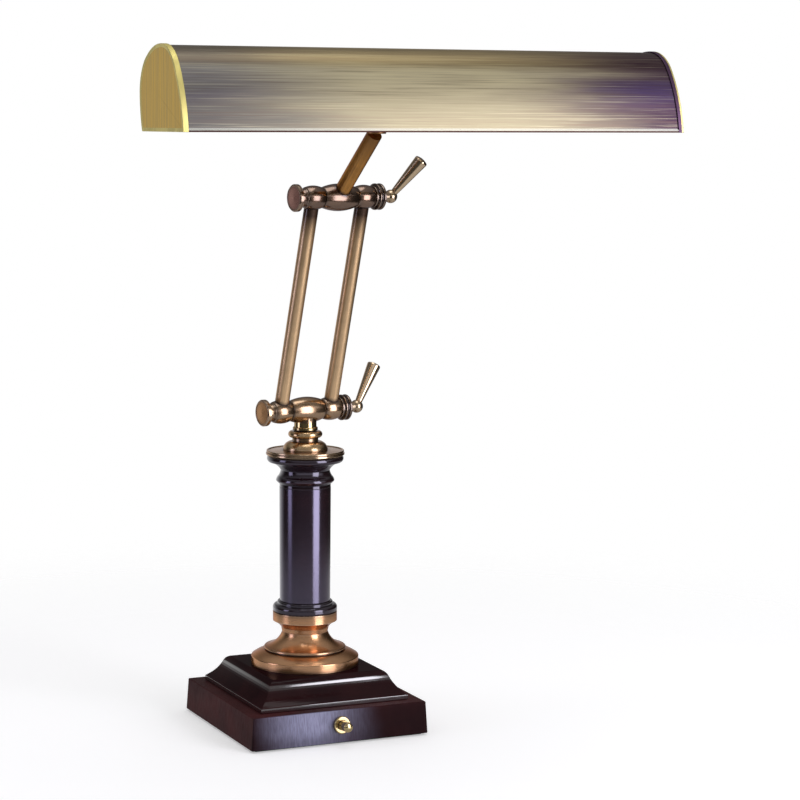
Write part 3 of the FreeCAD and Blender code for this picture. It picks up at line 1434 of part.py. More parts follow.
def lamp_glass(label):
    """Tubular glass, open at the neck, with a round end."""
    neck = "dim.holder_floor + dim.lamp_cap_length - dim.lamp_neck_depth"
    throat = "dim.holder_length + dim.joint_gap"
    shoulder = f"{throat} + dim.lamp_shoulder"
    tip = "dim.holder_floor + dim.lamp_length"
    skin = "dim.lamp_glass"
    return turned(
        label,
        [
            (neck, "dim.lamp_neck"),
            (throat, "dim.lamp_neck", "-dim.lamp_shoulder_sweep"),
            (shoulder, "dim.lamp_radius"),
            (f"{tip} - dim.lamp_radius", "dim.lamp_radius", "-90"),
            (tip, "0"),
            (f"{tip} - {skin}", "0", "90"),
            (f"{tip} - dim.lamp_radius", f"dim.lamp_radius - {skin}"),
            (shoulder, f"dim.lamp_radius - {skin}", "dim.lamp_shoulder_sweep"),
            (throat, f"dim.lamp_neck - {skin}"),
            (neck, f"dim.lamp_neck - {skin}"),
        ],
        "H_Axis",
    )


# ---------------------------------------------------------------------------------------------------------
# Assembly
# ---------------------------------------------------------------------------------------------------------


def place_base():
    keep(felt_pad())
    keep(bottom_plate(), level("dim.felt_thickness"))
    keep(plate_screws(), level("dim.felt_thickness"))
    keep(base_plinth(), level("dim.felt_thickness"))
    keep(weight_plate(), level("dim.plinth_top - dim.plinth_roof - dim.weight_thickness"))
    keep(base_step(), level("dim.plinth_top"))
    front = wall_frame("dim.dimmer_height")
    keep(dimmer_case(), front)
    keep(dimmer_ring(), front)
    keep(dimmer_shaft(), front)
    keep(dimmer_knob(), front)
    keep(cord_inlet(), wall_frame("dim.inlet_height", front=False))


def place_column():
    keep(foot_bell(), level("dim.step_top"))
    keep(column_collar(), level("dim.collar_level"))
    keep(column_tube(), level("dim.tube_level"))
    keep(column_capital(), level("dim.capital_level"))
    keep(cap_disc(), level("dim.cap_level"))
    keep(swivel_socket(), level("dim.socket_level"))
    keep(column_rod(), level("dim.nut_level - dim.rod_below_nut"))
    bore = "dim.rod_thread + dim.thread_gap"
    keep(hexagon_nut("column_nut", "dim.nut_across", "dim.nut_height", bore), level("dim.nut_level"))
    washer = ring("column_washer", bore, "dim.washer_radius", "dim.washer_height")
    keep(washer, level("dim.nut_level + dim.nut_height"))
    tip = "dim.spindle_groove + dim.groove_play"
    screw = set_screw("column_set_screw", tip, "dim.cone_radius - 2 * dim.set_screw_sunk")
    height = number("dim.socket_level + dim.set_screw_level")
    keep(screw, Placement(Vector(0, 0, height), Rotation(X_AXIS, -90)))


def place_arms(frame):
    keep(lower_yoke(), frame["yoke"])
    half = number("dim.rod_spacing / 2")
    flipped = Placement(Vector(), Rotation(X_AXIS, 180))
    for side, shift in (("left", -half), ("right", half)):
        aside = Placement(Vector(shift, 0, 0), Rotation())
        keep(side_hub(f"lower_hub_{side}"), frame["arms"] * aside)
        keep(side_hub(f"upper_hub_{side}"), frame["top"] * aside * flipped)
        keep(arm_rod(f"arm_rod_{side}"), frame["arms"] * aside)
    for where, place in (("lower", frame["arms"]), ("upper", frame["top"])):
        keep(pivot_bolt(f"{where}_pivot_bolt"), place)
        keep(spring_washer(f"{where}_spring_washer"), place)
        keep(tension_collar(f"{where}_tension_collar"), place)
    upright = Placement(frame["top"].Base, frame["yoke"].Rotation)
    for where, place in (("lower", frame["yoke"]), ("upper", upright)):
        turn = Placement(Vector(), Rotation(X_AXIS, number(f"dim.{where}_lever_turn")))
        keep(lever(f"{where}_lever"), place * turn)


def place_stem(frame):
    keep(upper_hub(), frame["stem"])
    keep(stem(frame["stem"], frame["swivel"]))


def place_shade(frame):
    keep(swivel_block(), frame["turn"])
    tip = "dim.pin_groove + dim.groove_play"
    screw = set_screw("shade_set_screw", tip, "dim.block_radius - dim.set_screw_sunk")
    lift = Placement(Vector(0, 0, number("dim.pin_screw_level")), Rotation(X_AXIS, -90))
    keep(screw, frame["turn"] * lift)
    shade = frame["shade"]
    keep(shade_nipple(), shade * along_y("dim.nipple_past"))
    keep(nipple_spacer(), shade * along_y(f"{wall_face()} + dim.lock_washer_height"))
    keep(lock_washer("outer_washer"), shade * along_y(wall_face()))
    inner_face = f"{wall_face()} - dim.shade_wall - dim.lock_washer_height - dim.washer_sag - dim.thread_gap"
    keep(lock_washer("inner_washer"), shade * along_y(inner_face))
    nut = hexagon_nut(
        "shade_lock_nut", "dim.lock_nut_across", "dim.lock_nut_height", "dim.rod_thread + dim.thread_gap"
    )
    keep(nut, shade * along_y(f"{inner_face} - dim.lock_nut_height"))
    keep(shade_shell(), shade)
    half = number("dim.overall_width / 2")
    keep(end_cap("end_cap_left", right=False), shade * Placement(Vector(-half, 0, 0), Rotation()))
    keep(end_cap("end_cap_right", right=True), shade * Placement(Vector(half, 0, 0), Rotation()))


def place_lamps(frame):
    middle = frame["shade"] * level("dim.nipple_level")
    keep(cluster_body(), middle)
    reach = number("dim.cluster_half")
    for side, turn in (("left", 180), ("right", 0)):
        place = middle * Placement(Vector(), Rotation(Z_AXIS, turn))
        place = place * Placement(Vector(reach, 0, 0), Rotation())
        keep(lamp_holder(f"lamp_holder_{side}"), place)
        keep(lamp_cap(f"lamp_cap_{side}"), place)
        keep(lamp_glass(f"lamp_glass_{side}"), place)


def check_document():
    """Stops if any object failed or any sub-part's shape isn't sound."""
    doc.recompute()
    failed = [item.Label for item in doc.Objects if "Invalid" in item.State or "Error" in item.State]
    unsound = [part.Label for part in PARTS if part.Shape.isNull() or not part.Shape.isValid()]
    if failed or unsound:
        raise RuntimeError(f"failed: {failed}, unsound: {unsound}")


def export_parts():
    os.makedirs("parts", exist_ok=True)
    for part in PARTS:
        part.Shape.exportStep(f"parts/{part.Label}.step")


fill_sheet()
group_frames = frames()
place_base()
place_column()
place_arms(group_frames)
place_stem(group_frames)
place_shade(group_frames)
place_lamps(group_frames)
check_document()
export_parts()
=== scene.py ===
import json
import math
from functools import cache

import bmesh
import bpy
from mathutils import Matrix, Vector
from mathutils.bvhtree import BVHTree
from mathutils.kdtree import KDTree


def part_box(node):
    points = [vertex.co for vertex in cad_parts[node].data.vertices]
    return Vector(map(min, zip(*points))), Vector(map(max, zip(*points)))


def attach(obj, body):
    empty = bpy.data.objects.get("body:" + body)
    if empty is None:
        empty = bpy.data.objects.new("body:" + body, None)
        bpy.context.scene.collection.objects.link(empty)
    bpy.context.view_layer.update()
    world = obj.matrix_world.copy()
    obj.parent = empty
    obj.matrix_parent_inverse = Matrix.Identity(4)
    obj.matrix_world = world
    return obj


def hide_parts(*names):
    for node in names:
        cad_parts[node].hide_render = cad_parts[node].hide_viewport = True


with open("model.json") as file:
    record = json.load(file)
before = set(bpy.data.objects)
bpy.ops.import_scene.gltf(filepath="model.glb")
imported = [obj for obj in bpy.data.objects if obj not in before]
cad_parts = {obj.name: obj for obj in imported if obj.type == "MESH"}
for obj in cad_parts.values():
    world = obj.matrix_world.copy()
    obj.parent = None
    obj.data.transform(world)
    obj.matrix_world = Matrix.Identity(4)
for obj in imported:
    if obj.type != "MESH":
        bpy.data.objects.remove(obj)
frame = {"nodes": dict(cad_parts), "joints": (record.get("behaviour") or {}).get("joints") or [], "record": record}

bl_info = {
    "name": "Piano lamp finish",
    "version": (1, 0, 0),
    "blender": (4, 5, 0),
    "location": "3D View > Sidebar > Piano Lamp",
    "description": "Dresses the lamp's solids with turned brass, brushed sheet and dark gloss enamel",
    "category": "Object",
}

NODES = frame["nodes"]
JOINTS = {joint["name"]: joint for joint in frame["joints"]}
MOUNTS = {mount["name"]: mount for mount in frame["record"]["mounts"]}
BODY_OF = {node: body for body, nodes in frame["record"]["behaviour"]["bodies"].items() for node in nodes}
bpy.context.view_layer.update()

X_AXIS, Y_AXIS, Z_AXIS = Vector((1, 0, 0)), Vector((0, 1, 0)), Vector((0, 0, 1))

# Meshes, in metres and radians.
MERGE = 2e-6  # points nearer than this are one point
FLAT_ENOUGH = math.radians(0.4)  # faces that meet at less than this are one face
SWEEP_CIRCLE = 0.02  # radius of the circle that outlines are swept round
SHARP_CORNER = math.radians(24)  # an outline's corner that turns by more is rounded
FULL_CORNER = math.radians(80)  # and one that turns by more than this wears fully
TIGHTEST_CORNER = 2.4  # a corner that turns by more is rounded like this one
CORNER_SHARE = 0.42  # a rounding takes no more of the sides beside it
ARC_POINTS = 4  # points on a rounded corner
SUPPORTS = (0.0003, 0.0008, 0.0016, 0.0030)  # distances of the extra points from a corner
POINTS_PER_THREAD = 10
RING_STEP = 0.0012  # between the rings that carry dirt near the ends of rods and stem
POST_TOP = -0.0085  # top of the yoke's post, from the knuckle's axis
POST_RINGS_TOP, POST_RING_STEP = -0.0089, -0.0007
LEVER_TIP = 0.009  # length of a lever's end whose middle its axis runs through
SCREW_PLAY = 0.00006  # round a set screw
SCREW_EDGE = 0.0001
DRILL_BEYOND = 0.006  # that a set screw's hole is longer than the screw
STEP_HOLLOW = 0.03  # half the width that the step's hollow stays within
CORE_FORWARD, CORE_HEIGHT = 0.004, 0.012  # of the line that the shade's inner faces look at

# Marks, darkenings and the hem's painted highlight and shade that are the same on all lamps. Colours are linear.
BRUSH_LENGTH = 10.0  # marks on drawn brass to the metre along it
ENAMEL_RUBBED, ENAMEL_DIRT = (0.11, 0.032, 0.028), (0.002, 0.001, 0.001)
PLINTH_EDGE_DARK = (0.006, 0.003, 0.004)
STREAK_DARK, STREAK_PALE = (0.16, 0.10, 0.075), (0.80, 0.72, 0.48)
# Painted highlight on the shade's hem, and the painted shade line under it.
HEM_PAINTED_HIGHLIGHT, HEM_PAINTED_SHADE = (0.40, 0.41, 0.35), (0.045, 0.022, 0.018)

# Stage.
FLOOR_GAP = 0.0002  # under the felt
LIGHT_AIM = (0, -0.05, 0.26)
CAMERA_PLACE = Vector((-0.6581, -1.5699, 0.4397))
CAMERA_RIGHT, CAMERA_UP = Vector((0.9175, -0.3976, 0.0036)), Vector((0.0435, 0.1094, 0.9930))
CAMERA_SHIFT = 0.08175


# ---------------------------------------------------------------------------
# Sizes and colours that a user would change
# ---------------------------------------------------------------------------


def metres(name, description, default):
    return bpy.props.FloatProperty(
        name=name, description=description, default=default, min=0, unit="LENGTH", precision=5
    )


def share(name, description, default, most=1.0):
    return bpy.props.FloatProperty(name=name, description=description, default=default, min=0, max=most)


def colour(name, description, default):
    return bpy.props.FloatVectorProperty(
        name=name, description=description, default=default, size=3, min=0, max=1, subtype="COLOR"
    )


class LampShapeSettings(bpy.types.PropertyGroup):
    """How finely the pieces are made."""

    around: bpy.props.IntProperty(
        name="Steps around", description="Faces round a turned piece", default=128, min=12, max=512
    )
    edge: metres("Edge rounding", "Radius that softens the turned edges", 0.00022)
    step_edge: metres("Step edge", "Radius on the mitres and lips of the square step", 0.0014)
    plinth_edge: metres("Plinth edge", "Radius on the plinth's edges", 0.0009)
    grime_reach: metres("Grime reach", "How far dirt spreads from a joint", 0.0028)
    wear_reach: metres("Wear reach", "How far a rubbed edge spreads", 0.0012)
    # Painted shade towards the upper ends of the rods and the stem.
    end_shade_reach: metres("Smoke reach", "How far the long darkening of the rods spreads", 0.036)
    lip_width: metres("Lip width", "Raised lip round the end caps' panels", 0.0024)
    lip_depth: metres("Lip depth", "Depth of the end caps' panels behind the lip", 0.0004)
    screw_slot: metres("Screw slot", "Width of the cross slots in the bottom screws", 0.0009)
    hex_key: metres("Hex key", "Size across corners of the set screws' sockets", 0.0021)
    thread_pitch: metres("Thread pitch", "Pitch of the lamps' screw shells", 0.0036)
    thread_depth: metres("Thread depth", "Depth of the lamps' screw shells", 0.0006)


class LampFinishSettings(bpy.types.PropertyGroup):
    """Colours of the finishes, and of the painted highlights, shade, sheen and reflections."""

    brass: colour("Antique brass", "Rubbed colour of the arms", (0.50, 0.31, 0.165))
    brass_dark: colour("Antique brass, dark", "Patina left in the hollows", (0.030, 0.011, 0.010))
    barrel: colour("Upper barrels", "Redder brass of the upper hubs", (0.26, 0.145, 0.085))
    stem: colour("Stem", "Golden brown of the stem", (0.74, 0.35, 0.08))
    rod: colour("Arm rods", "Tan brass of the two rods", (1.0, 0.67, 0.36))
    cap: colour("Cap brass", "Yellower brass of the cap and the swivel socket", (0.80, 0.53, 0.26))
    blackened: colour("Blackened brass", "Broad faces of the tension collars", (0.045, 0.020, 0.018))
    disc: colour("Bolt head", "Copper face of the lower bolt", (1.0, 0.52, 0.22))
    disc_upper: colour("Upper bolt head", "Darker face of the upper bolt", (0.62, 0.30, 0.24))
    rubbed_edge: colour("Rubbed edges", "Where handling has bared the metal", (0.86, 0.62, 0.42))
    copper: colour("Foot brass", "Warm colour of the foot and the cap", (0.84, 0.45, 0.22))
    lever: colour("Lever brass", "Handled surface of the levers", (0.78, 0.58, 0.36))
    bright: colour("Polished brass", "Yoke post and the lamps' screw caps", (0.86, 0.62, 0.25))
    knob: colour("Knob brass", "Dimmer's knob and ring, and the cluster", (0.78, 0.62, 0.32))
    # Painted highlight in the shade's middle, and painted shade towards its two ends.
    shade_painted_highlight: colour("Shade, middle", "Rubbed middle of the shade", (0.72, 0.635, 0.405))
    shade_left_painted_shade: colour("Shade, left", "Darker left part of the shade", (0.28, 0.268, 0.25))
    shade_right_painted_shade: colour("Shade, right", "Darker right part of the shade", (0.115, 0.065, 0.115))
    # Painted shade on the shade's ridge.
    shade_ridge_painted_shade: colour("Shade, ridge", "Tint that darkens the ridge", (0.58, 0.51, 0.41))
    # Painted violet reflection towards the shade's ends.
    shade_painted_violet_reflection: colour("Shade, violet", "Heat tint towards the ends", (0.115, 0.080, 0.20))
    shade_end: colour("Shade, ends", "Gold of the end caps", (0.86, 0.56, 0.085))
    shade_rim: colour("Shade, rims", "Bright lips of the end caps", (0.76, 0.66, 0.24))
    enamel: colour("Dark enamel", "Base and column", (0.0050, 0.0022, 0.0032))
    enamel_warm: colour("Dark enamel, warm", "Where the enamel shows red", (0.105, 0.024, 0.024))
    # Painted sheen: a painted reflection in the middle of the plinth's front.
    enamel_painted_sheen: colour("Dark enamel, cool", "Sheen in the middle of the plinth", (0.52, 0.53, 0.88))
    enamel_sheen: colour("Enamel sheen", "Tint of the enamel's own reflections", (0.72, 0.66, 1.0))
    steel: colour("Zinc plated steel", "Screws, rod and nuts", (0.55, 0.55, 0.53))
    felt: colour("Felt", "Pad under the base", (0.020, 0.045, 0.026))
    white: colour("White enamel", "Inside of the shade", (0.82, 0.81, 0.77))
    porcelain: colour("Porcelain", "Lamp holders", (0.84, 0.81, 0.74))


class LampStudioSettings(bpy.types.PropertyGroup):
    """Floor, lights and camera."""

    key_power: bpy.props.FloatProperty(
        name="Key light", description="Tall soft box at the front right", default=19.0, min=0, unit="POWER"
    )
    side_power: bpy.props.FloatProperty(
        name="Side light", description="Soft box at the left", default=4.0, min=0, unit="POWER"
    )
    top_power: bpy.props.FloatProperty(
        name="Top light", description="Soft box overhead", default=5.0, min=0, unit="POWER"
    )
    fill: share("Fill", "Strength of the even light from all round", 0.50, 4.0)
    floor: colour("Floor", "Colour of the floor", (0.86, 0.86, 0.86))
    floor_glow: share("Floor glow", "Light that the floor adds for the camera", 0.35, 2.0)
    floor_radius: metres("Floor radius", "Where the floor fades out", 0.8)
    lens: bpy.props.FloatProperty(
        name="Lens", description="Focal length in millimetres", default=106.79, min=1
    )


def shape():
    return bpy.context.scene.lamp_shape


def finish():
    return bpy.context.scene.lamp_finish


def studio():
    return bpy.context.scene.lamp_studio


# ---------------------------------------------------------------------------
# Node trees
# ---------------------------------------------------------------------------


def put(tree, kind, inputs=None, **settings):
    """New node with its settings made, and its inputs linked or set."""
    node = tree.nodes.new(kind)
    for name, value in settings.items():
        setattr(node, name, value)
    for name, value in (inputs or {}).items():
        socket = node.inputs[name]
        if isinstance(value, bpy.types.NodeSocket):
            tree.links.new(value, socket)
        else:
            socket.default_value = value
    return node


def new_tree(name, kind, inputs, outputs):
    """Node group with named inputs (name, type, default) and outputs (name, type)."""
    tree = bpy.data.node_groups.new(name, kind)
    for label, socket_type, default in inputs:
        socket = tree.interface.new_socket(name=label, in_out="INPUT", socket_type="NodeSocket" + socket_type)
        if default is not None:
            socket.default_value = default
    for label, socket_type in outputs:
        tree.interface.new_socket(name=label, in_out="OUTPUT", socket_type="NodeSocket" + socket_type)
    entry = tree.nodes.new("NodeGroupInput").outputs
    exit_node = tree.nodes.new("NodeGroupOutput").inputs
    return tree, entry, exit_node


def arithmetic(tree, operation, *values):
    """Result of a Math node on sockets or numbers."""
    return put(tree, "ShaderNodeMath", dict(enumerate(values)), operation=operation).outputs[0]


def blend_colours(tree, factor, first, second, mode="MIX"):
    """The second colour over the first by a factor. A colour is a socket or three numbers."""
    inputs = {0: factor}
    for index, value in ((6, first), (7, second)):
        inputs[index] = value if isinstance(value, bpy.types.NodeSocket) else (*value[:3], 1)
    node = put(tree, "ShaderNodeMix", inputs, data_type="RGBA", blend_type=mode, clamp_factor=True)
    return node.outputs[2]


def span(tree, value, low, high, to_low=0.0, to_high=1.0):
    """Smooth step of a value from one range to another."""
    inputs = {"Value": value, "From Min": low, "From Max": high, "To Min": to_low, "To Max": to_high}
    return put(tree, "ShaderNodeMapRange", inputs, interpolation_type="SMOOTHSTEP").outputs["Result"]


def noise(tree, vector, scale, detail, roughness=0.5):
    """Value of a noise texture."""
    inputs = {"Vector": vector, "Scale": scale, "Detail": detail, "Roughness": roughness}
    return put(tree, "ShaderNodeTexNoise", inputs).outputs["Fac"]


def axes_of(tree, vector):
    """X, Y and Z of a vector."""
    return put(tree, "ShaderNodeSeparateXYZ", {"Vector": vector}).outputs


def stretched(tree, vector, factors):
    """A vector times another, axis by axis."""
    return put(tree, "ShaderNodeVectorMath", {0: vector, 1: factors}, operation="MULTIPLY").outputs["Vector"]


def own_place(tree):
    """Place on the piece, in metres."""
    return put(tree, "ShaderNodeTexCoord").outputs["Object"]


@cache
def turned_lines_group():
    """Fine rings left by a lathe or a polishing wheel, about the Z axis of the vector."""
    tree, entry, exit_node = new_tree(
        "turned_lines",
        "ShaderNodeTree",
        [("Vector", "Vector", None), ("Fineness", "Float", 3000.0), ("Arc", "Float", 6.0)],
        [("Lines", "Float"), ("Broad", "Float")],
    )
    split = axes_of(tree, entry["Vector"])
    flat = put(tree, "ShaderNodeCombineXYZ", {"X": split["X"], "Y": split["Y"]}).outputs[0]
    radius = put(tree, "ShaderNodeVectorMath", {0: flat}, operation="LENGTH").outputs["Value"]
    around = put(tree, "ShaderNodeVectorMath", {0: flat}, operation="NORMALIZE").outputs["Vector"]
    turn = axes_of(tree, around)
    for output, fineness_share, arc_share in (("Lines", 1.0, 1.0), ("Broad", 0.16, 0.35)):
        fineness = arithmetic(tree, "MULTIPLY", entry["Fineness"], fineness_share)
        arc = arithmetic(tree, "MULTIPLY", entry["Arc"], arc_share)
        rings = {
            "X": arithmetic(tree, "MULTIPLY", radius, fineness),
            "Y": arithmetic(tree, "MULTIPLY", split["Z"], fineness),
            "Z": arithmetic(tree, "MULTIPLY", turn["X"], arc),
        }
        inputs = {
            "Vector": put(tree, "ShaderNodeCombineXYZ", rings).outputs[0],
            "W": arithmetic(tree, "MULTIPLY", turn["Y"], arc),
            "Scale": 1.0,
            "Detail": 2.0,
            "Roughness": 0.55,
        }
        lines = put(tree, "ShaderNodeTexNoise", inputs, noise_dimensions="4D")
        tree.links.new(lines.outputs["Fac"], exit_node[output])
    return tree


@cache
def straight_lines_group():
    """Fine brushing along the Z axis of the vector."""
    tree, entry, exit_node = new_tree(
        "straight_lines",
        "ShaderNodeTree",
        [("Vector", "Vector", None), ("Fineness", "Float", 2500.0), ("Length", "Float", 40.0)],
        [("Lines", "Float"), ("Broad", "Float")],
    )
    for output, fineness_share in (("Lines", 1.0), ("Broad", 0.12)):
        fineness = arithmetic(tree, "MULTIPLY", entry["Fineness"], fineness_share)
        length = arithmetic(tree, "MULTIPLY", entry["Length"], fineness_share)
        factors = put(tree, "ShaderNodeCombineXYZ", {"X": fineness, "Y": fineness, "Z": length}).outputs[0]
        place = stretched(tree, entry["Vector"], factors)
        tree.links.new(noise(tree, place, 1.0, 3.0, 0.6), exit_node[output])
    return tree


@cache
def patina_group():
    """Rubbed metal over a dark patina: dirt stays in the hollows and edges are rubbed bright. Its grime input also
    carries painted shade near the upper ends of the rods and stem.
    """
    tree, entry, exit_node = new_tree(
        "patina",
        "ShaderNodeTree",
        [
            ("Vector", "Vector", None),
            ("Metal", "Color", (1, 1, 1, 1)),
            ("Patina", "Color", (0, 0, 0, 1)),
            ("Rubbed", "Color", (1, 1, 1, 1)),
            ("Cloudiness", "Float", 0.25),
            ("Lines", "Float", 0.5),
            ("Line Depth", "Float", 0.3),
            ("Gloss", "Float", 0.3),
            ("Grime", "Float", 0.0),
            ("Wear", "Float", 0.0),
        ],
        [("Color", "Color"), ("Roughness", "Float")],
    )
    cloud = noise(tree, entry["Vector"], 70.0, 4.0, 0.6)
    dull = arithmetic(tree, "MULTIPLY", span(tree, cloud, 0.35, 0.75), entry["Cloudiness"])
    dark_lines = arithmetic(tree, "MULTIPLY", span(tree, entry["Lines"], 0.62, 0.32), entry["Line Depth"])
    cover = arithmetic(tree, "MAXIMUM", arithmetic(tree, "ADD", dull, dark_lines), entry["Grime"])
    rubbed = arithmetic(tree, "MULTIPLY", entry["Wear"], 0.75)
    cover = arithmetic(tree, "MULTIPLY", cover, arithmetic(tree, "SUBTRACT", 1.0, rubbed))
    metal = blend_colours(tree, rubbed, entry["Metal"], entry["Rubbed"])
    tree.links.new(blend_colours(tree, cover, metal, entry["Patina"]), exit_node["Color"])
    rough = arithmetic(tree, "SUBTRACT", entry["Gloss"], 0.06)
    for mask, change in ((entry["Lines"], 0.12), (cover, 0.22), (rubbed, -0.08)):
        rough = arithmetic(tree, "MULTIPLY_ADD", mask, change, rough)
    tree.links.new(rough, exit_node["Roughness"])
    return tree


@cache
def orange_peel_group():
    """Slight waviness of a sprayed or moulded surface, and a slow haze."""
    tree, entry, exit_node = new_tree(
        "orange_peel",
        "ShaderNodeTree",
        [("Vector", "Vector", None), ("Scale", "Float", 900.0), ("Drag", "Vector", (1, 1, 1))],
        [("Height", "Float"), ("Haze", "Float")],
    )
    place = stretched(tree, entry["Vector"], entry["Drag"])
    tree.links.new(noise(tree, place, entry["Scale"], 3.0, 0.55), exit_node["Height"])
    tree.links.new(noise(tree, entry["Vector"], 28.0, 3.0), exit_node["Haze"])
    return tree


def use_group(tree, group, inputs):
    return put(tree, "ShaderNodeGroup", inputs, node_tree=group).outputs


def peel_of(tree, scale, drag=(1, 1, 1)):
    """Orange peel on the piece's own place."""
    return use_group(tree, orange_peel_group(), {"Vector": own_place(tree), "Scale": scale, "Drag": drag})


def brushing_of(tree, vector, fineness, length):
    return use_group(tree, straight_lines_group(), {"Vector": vector, "Fineness": fineness, "Length": length})


def new_material(name, **constants):
    """Material with a Principled BSDF, its constant sockets set on the shader itself."""
    material = bpy.data.materials.new(name)
    material.use_nodes = True
    tree = material.node_tree
    shader = tree.nodes["Principled BSDF"]
    for label, value in constants.items():
        shader.inputs[label.replace("_", " ").title().replace("Ior", "IOR")].default_value = value
    return material, tree, shader


def attribute(tree, name, output):
    return put(tree, "ShaderNodeAttribute", attribute_type="GEOMETRY", attribute_name=name).outputs[output]


def dress(tree, shader, colour, roughness, height, strength, distance):
    """Feeds the shader a colour, a roughness unless that is None, and a bump made from a height."""
    tree.links.new(colour, shader.inputs["Base Color"])
    if roughness is not None:
        tree.links.new(roughness, shader.inputs["Roughness"])
    node = put(tree, "ShaderNodeBump", {"Height": height, "Strength": strength, "Distance": distance})
    tree.links.new(node.outputs["Normal"], shader.inputs["Normal"])


def brass_material(
    name,
    metal,
    gloss,
    lines="turned",
    cloudiness=0.25,
    line_depth=0.3,
    relief=0.10,
    lacquer=0.8,
    spread=0.0,
    fineness=1800.0,
    edge_tint=(0.22, 0.11, 0.10),
):
    """Brass with rubbed high places, dark hollows and the marks of the lathe or the brush."""
    material, tree, shader = new_material(
        name,
        metallic=1.0,
        coat_weight=lacquer,
        coat_roughness=0.14,
        coat_ior=1.85,
        anisotropic=spread,
        anisotropic_rotation=0.25,
        specular_tint=(*edge_tint, 1),
    )
    local = attribute(tree, "local", "Vector")
    if lines == "turned":
        marks = use_group(tree, turned_lines_group(), {"Vector": local, "Fineness": fineness})
    else:
        marks = brushing_of(tree, local, fineness, BRUSH_LENGTH)
    half = arithmetic(tree, "MULTIPLY", marks["Lines"], 0.5)
    surface = use_group(
        tree,
        patina_group(),
        {
            "Vector": local,
            "Metal": (*metal, 1),
            "Patina": (*finish().brass_dark, 1),
            "Rubbed": (*finish().rubbed_edge, 1),
            "Cloudiness": cloudiness,
            "Lines": arithmetic(tree, "MULTIPLY_ADD", marks["Broad"], 0.5, half),
            "Line Depth": line_depth,
            "Gloss": gloss,
            # The grime attribute holds dirt at joints and, on the rods and stem, painted shade.
            "Grime": attribute(tree, "grime_and_shade", "Fac"),
            "Wear": attribute(tree, "wear", "Fac"),
        },
    )
    dress(tree, shader, surface["Color"], surface["Roughness"], marks["Lines"], relief, 0.00004)
    return material


@cache
def turned_brass():
    return brass_material("turned_brass", finish().brass, 0.19, cloudiness=0.18, line_depth=0.16)


@cache
def polished_brass():
    return brass_material(
        "bright_brass",
        finish().knob,
        0.10,
        cloudiness=0.05,
        line_depth=0.08,
        relief=0.05,
        lacquer=0.0,
        edge_tint=(1.0, 1.0, 1.0),
    )


def plain_metal(name, metal, gloss, grain):
    """Plated or cast metal on the piece's own place, for pieces that keep their solid's mesh."""
    material, tree, shader = new_material(name, metallic=1.0)
    peel = peel_of(tree, grain)
    dull = [part * 0.5 for part in metal]
    colour = blend_colours(tree, span(tree, peel["Haze"], 0.35, 0.7, 0.0, 0.45), metal, dull)
    rough = span(tree, peel["Haze"], 0.3, 0.7, gloss, gloss + 0.18)
    dress(tree, shader, colour, rough, peel["Height"], 0.15, 0.00005)
    return material


@cache
def zinc_plate():
    return plain_metal("zinc_plate", finish().steel, 0.38, 1600.0)


def moulded_material(name, grain, first, second, haze, rough, relief, from_height=True, **constants):
    """Smooth enamel, rubber or porcelain: two colours by the haze, and a slightly uneven gloss."""
    material, tree, shader = new_material(name, **constants)
    peel = peel_of(tree, grain)
    colour = blend_colours(tree, span(tree, peel["Haze"], *haze), first, second)
    uneven = peel["Height" if from_height else "Haze"]
    dress(tree, shader, colour, span(tree, uneven, 0.3, 0.7, *rough), peel["Height"], relief, 0.00008)
    return material


def enamel_material(name, gloss, grain, drag, relief, red, specular, coat_ior, steep):
    """Dark mahogany enamel, nearly black, with a clear coat that is weak on level faces."""
    material, tree, shader = new_material(
        name,
        ior=2.0,
        roughness=gloss,
        specular_ior_level=specular,
        specular_tint=(*finish().enamel_sheen, 1),
        coat_roughness=gloss,
        coat_ior=coat_ior,
    )
    peel = peel_of(tree, grain, drag)
    warmth = span(tree, peel["Haze"], 0.40, 0.72, red, 2 * red)
    base = blend_colours(tree, warmth, finish().enamel, finish().enamel_warm)
    for mark, strength, tint in (("wear", 0.2, ENAMEL_RUBBED), ("grime_and_shade", 0.8, ENAMEL_DIRT)):
        cover = arithmetic(tree, "MULTIPLY", attribute(tree, mark, "Fac"), strength)
        base = blend_colours(tree, cover, base, tint)
    facing = attribute(tree, "facing", "Fac")
    not_up = span(tree, facing, steep + 0.2, steep)
    not_down = span(tree, facing, -0.70, -0.20)
    upright = arithmetic(tree, "MULTIPLY", not_up, not_down)
    tree.links.new(span(tree, upright, 0.0, 1.0, 0.07, 1.0), shader.inputs["Coat Weight"])
    dress(tree, shader, base, None, peel["Height"], relief, 0.00006)
    return material


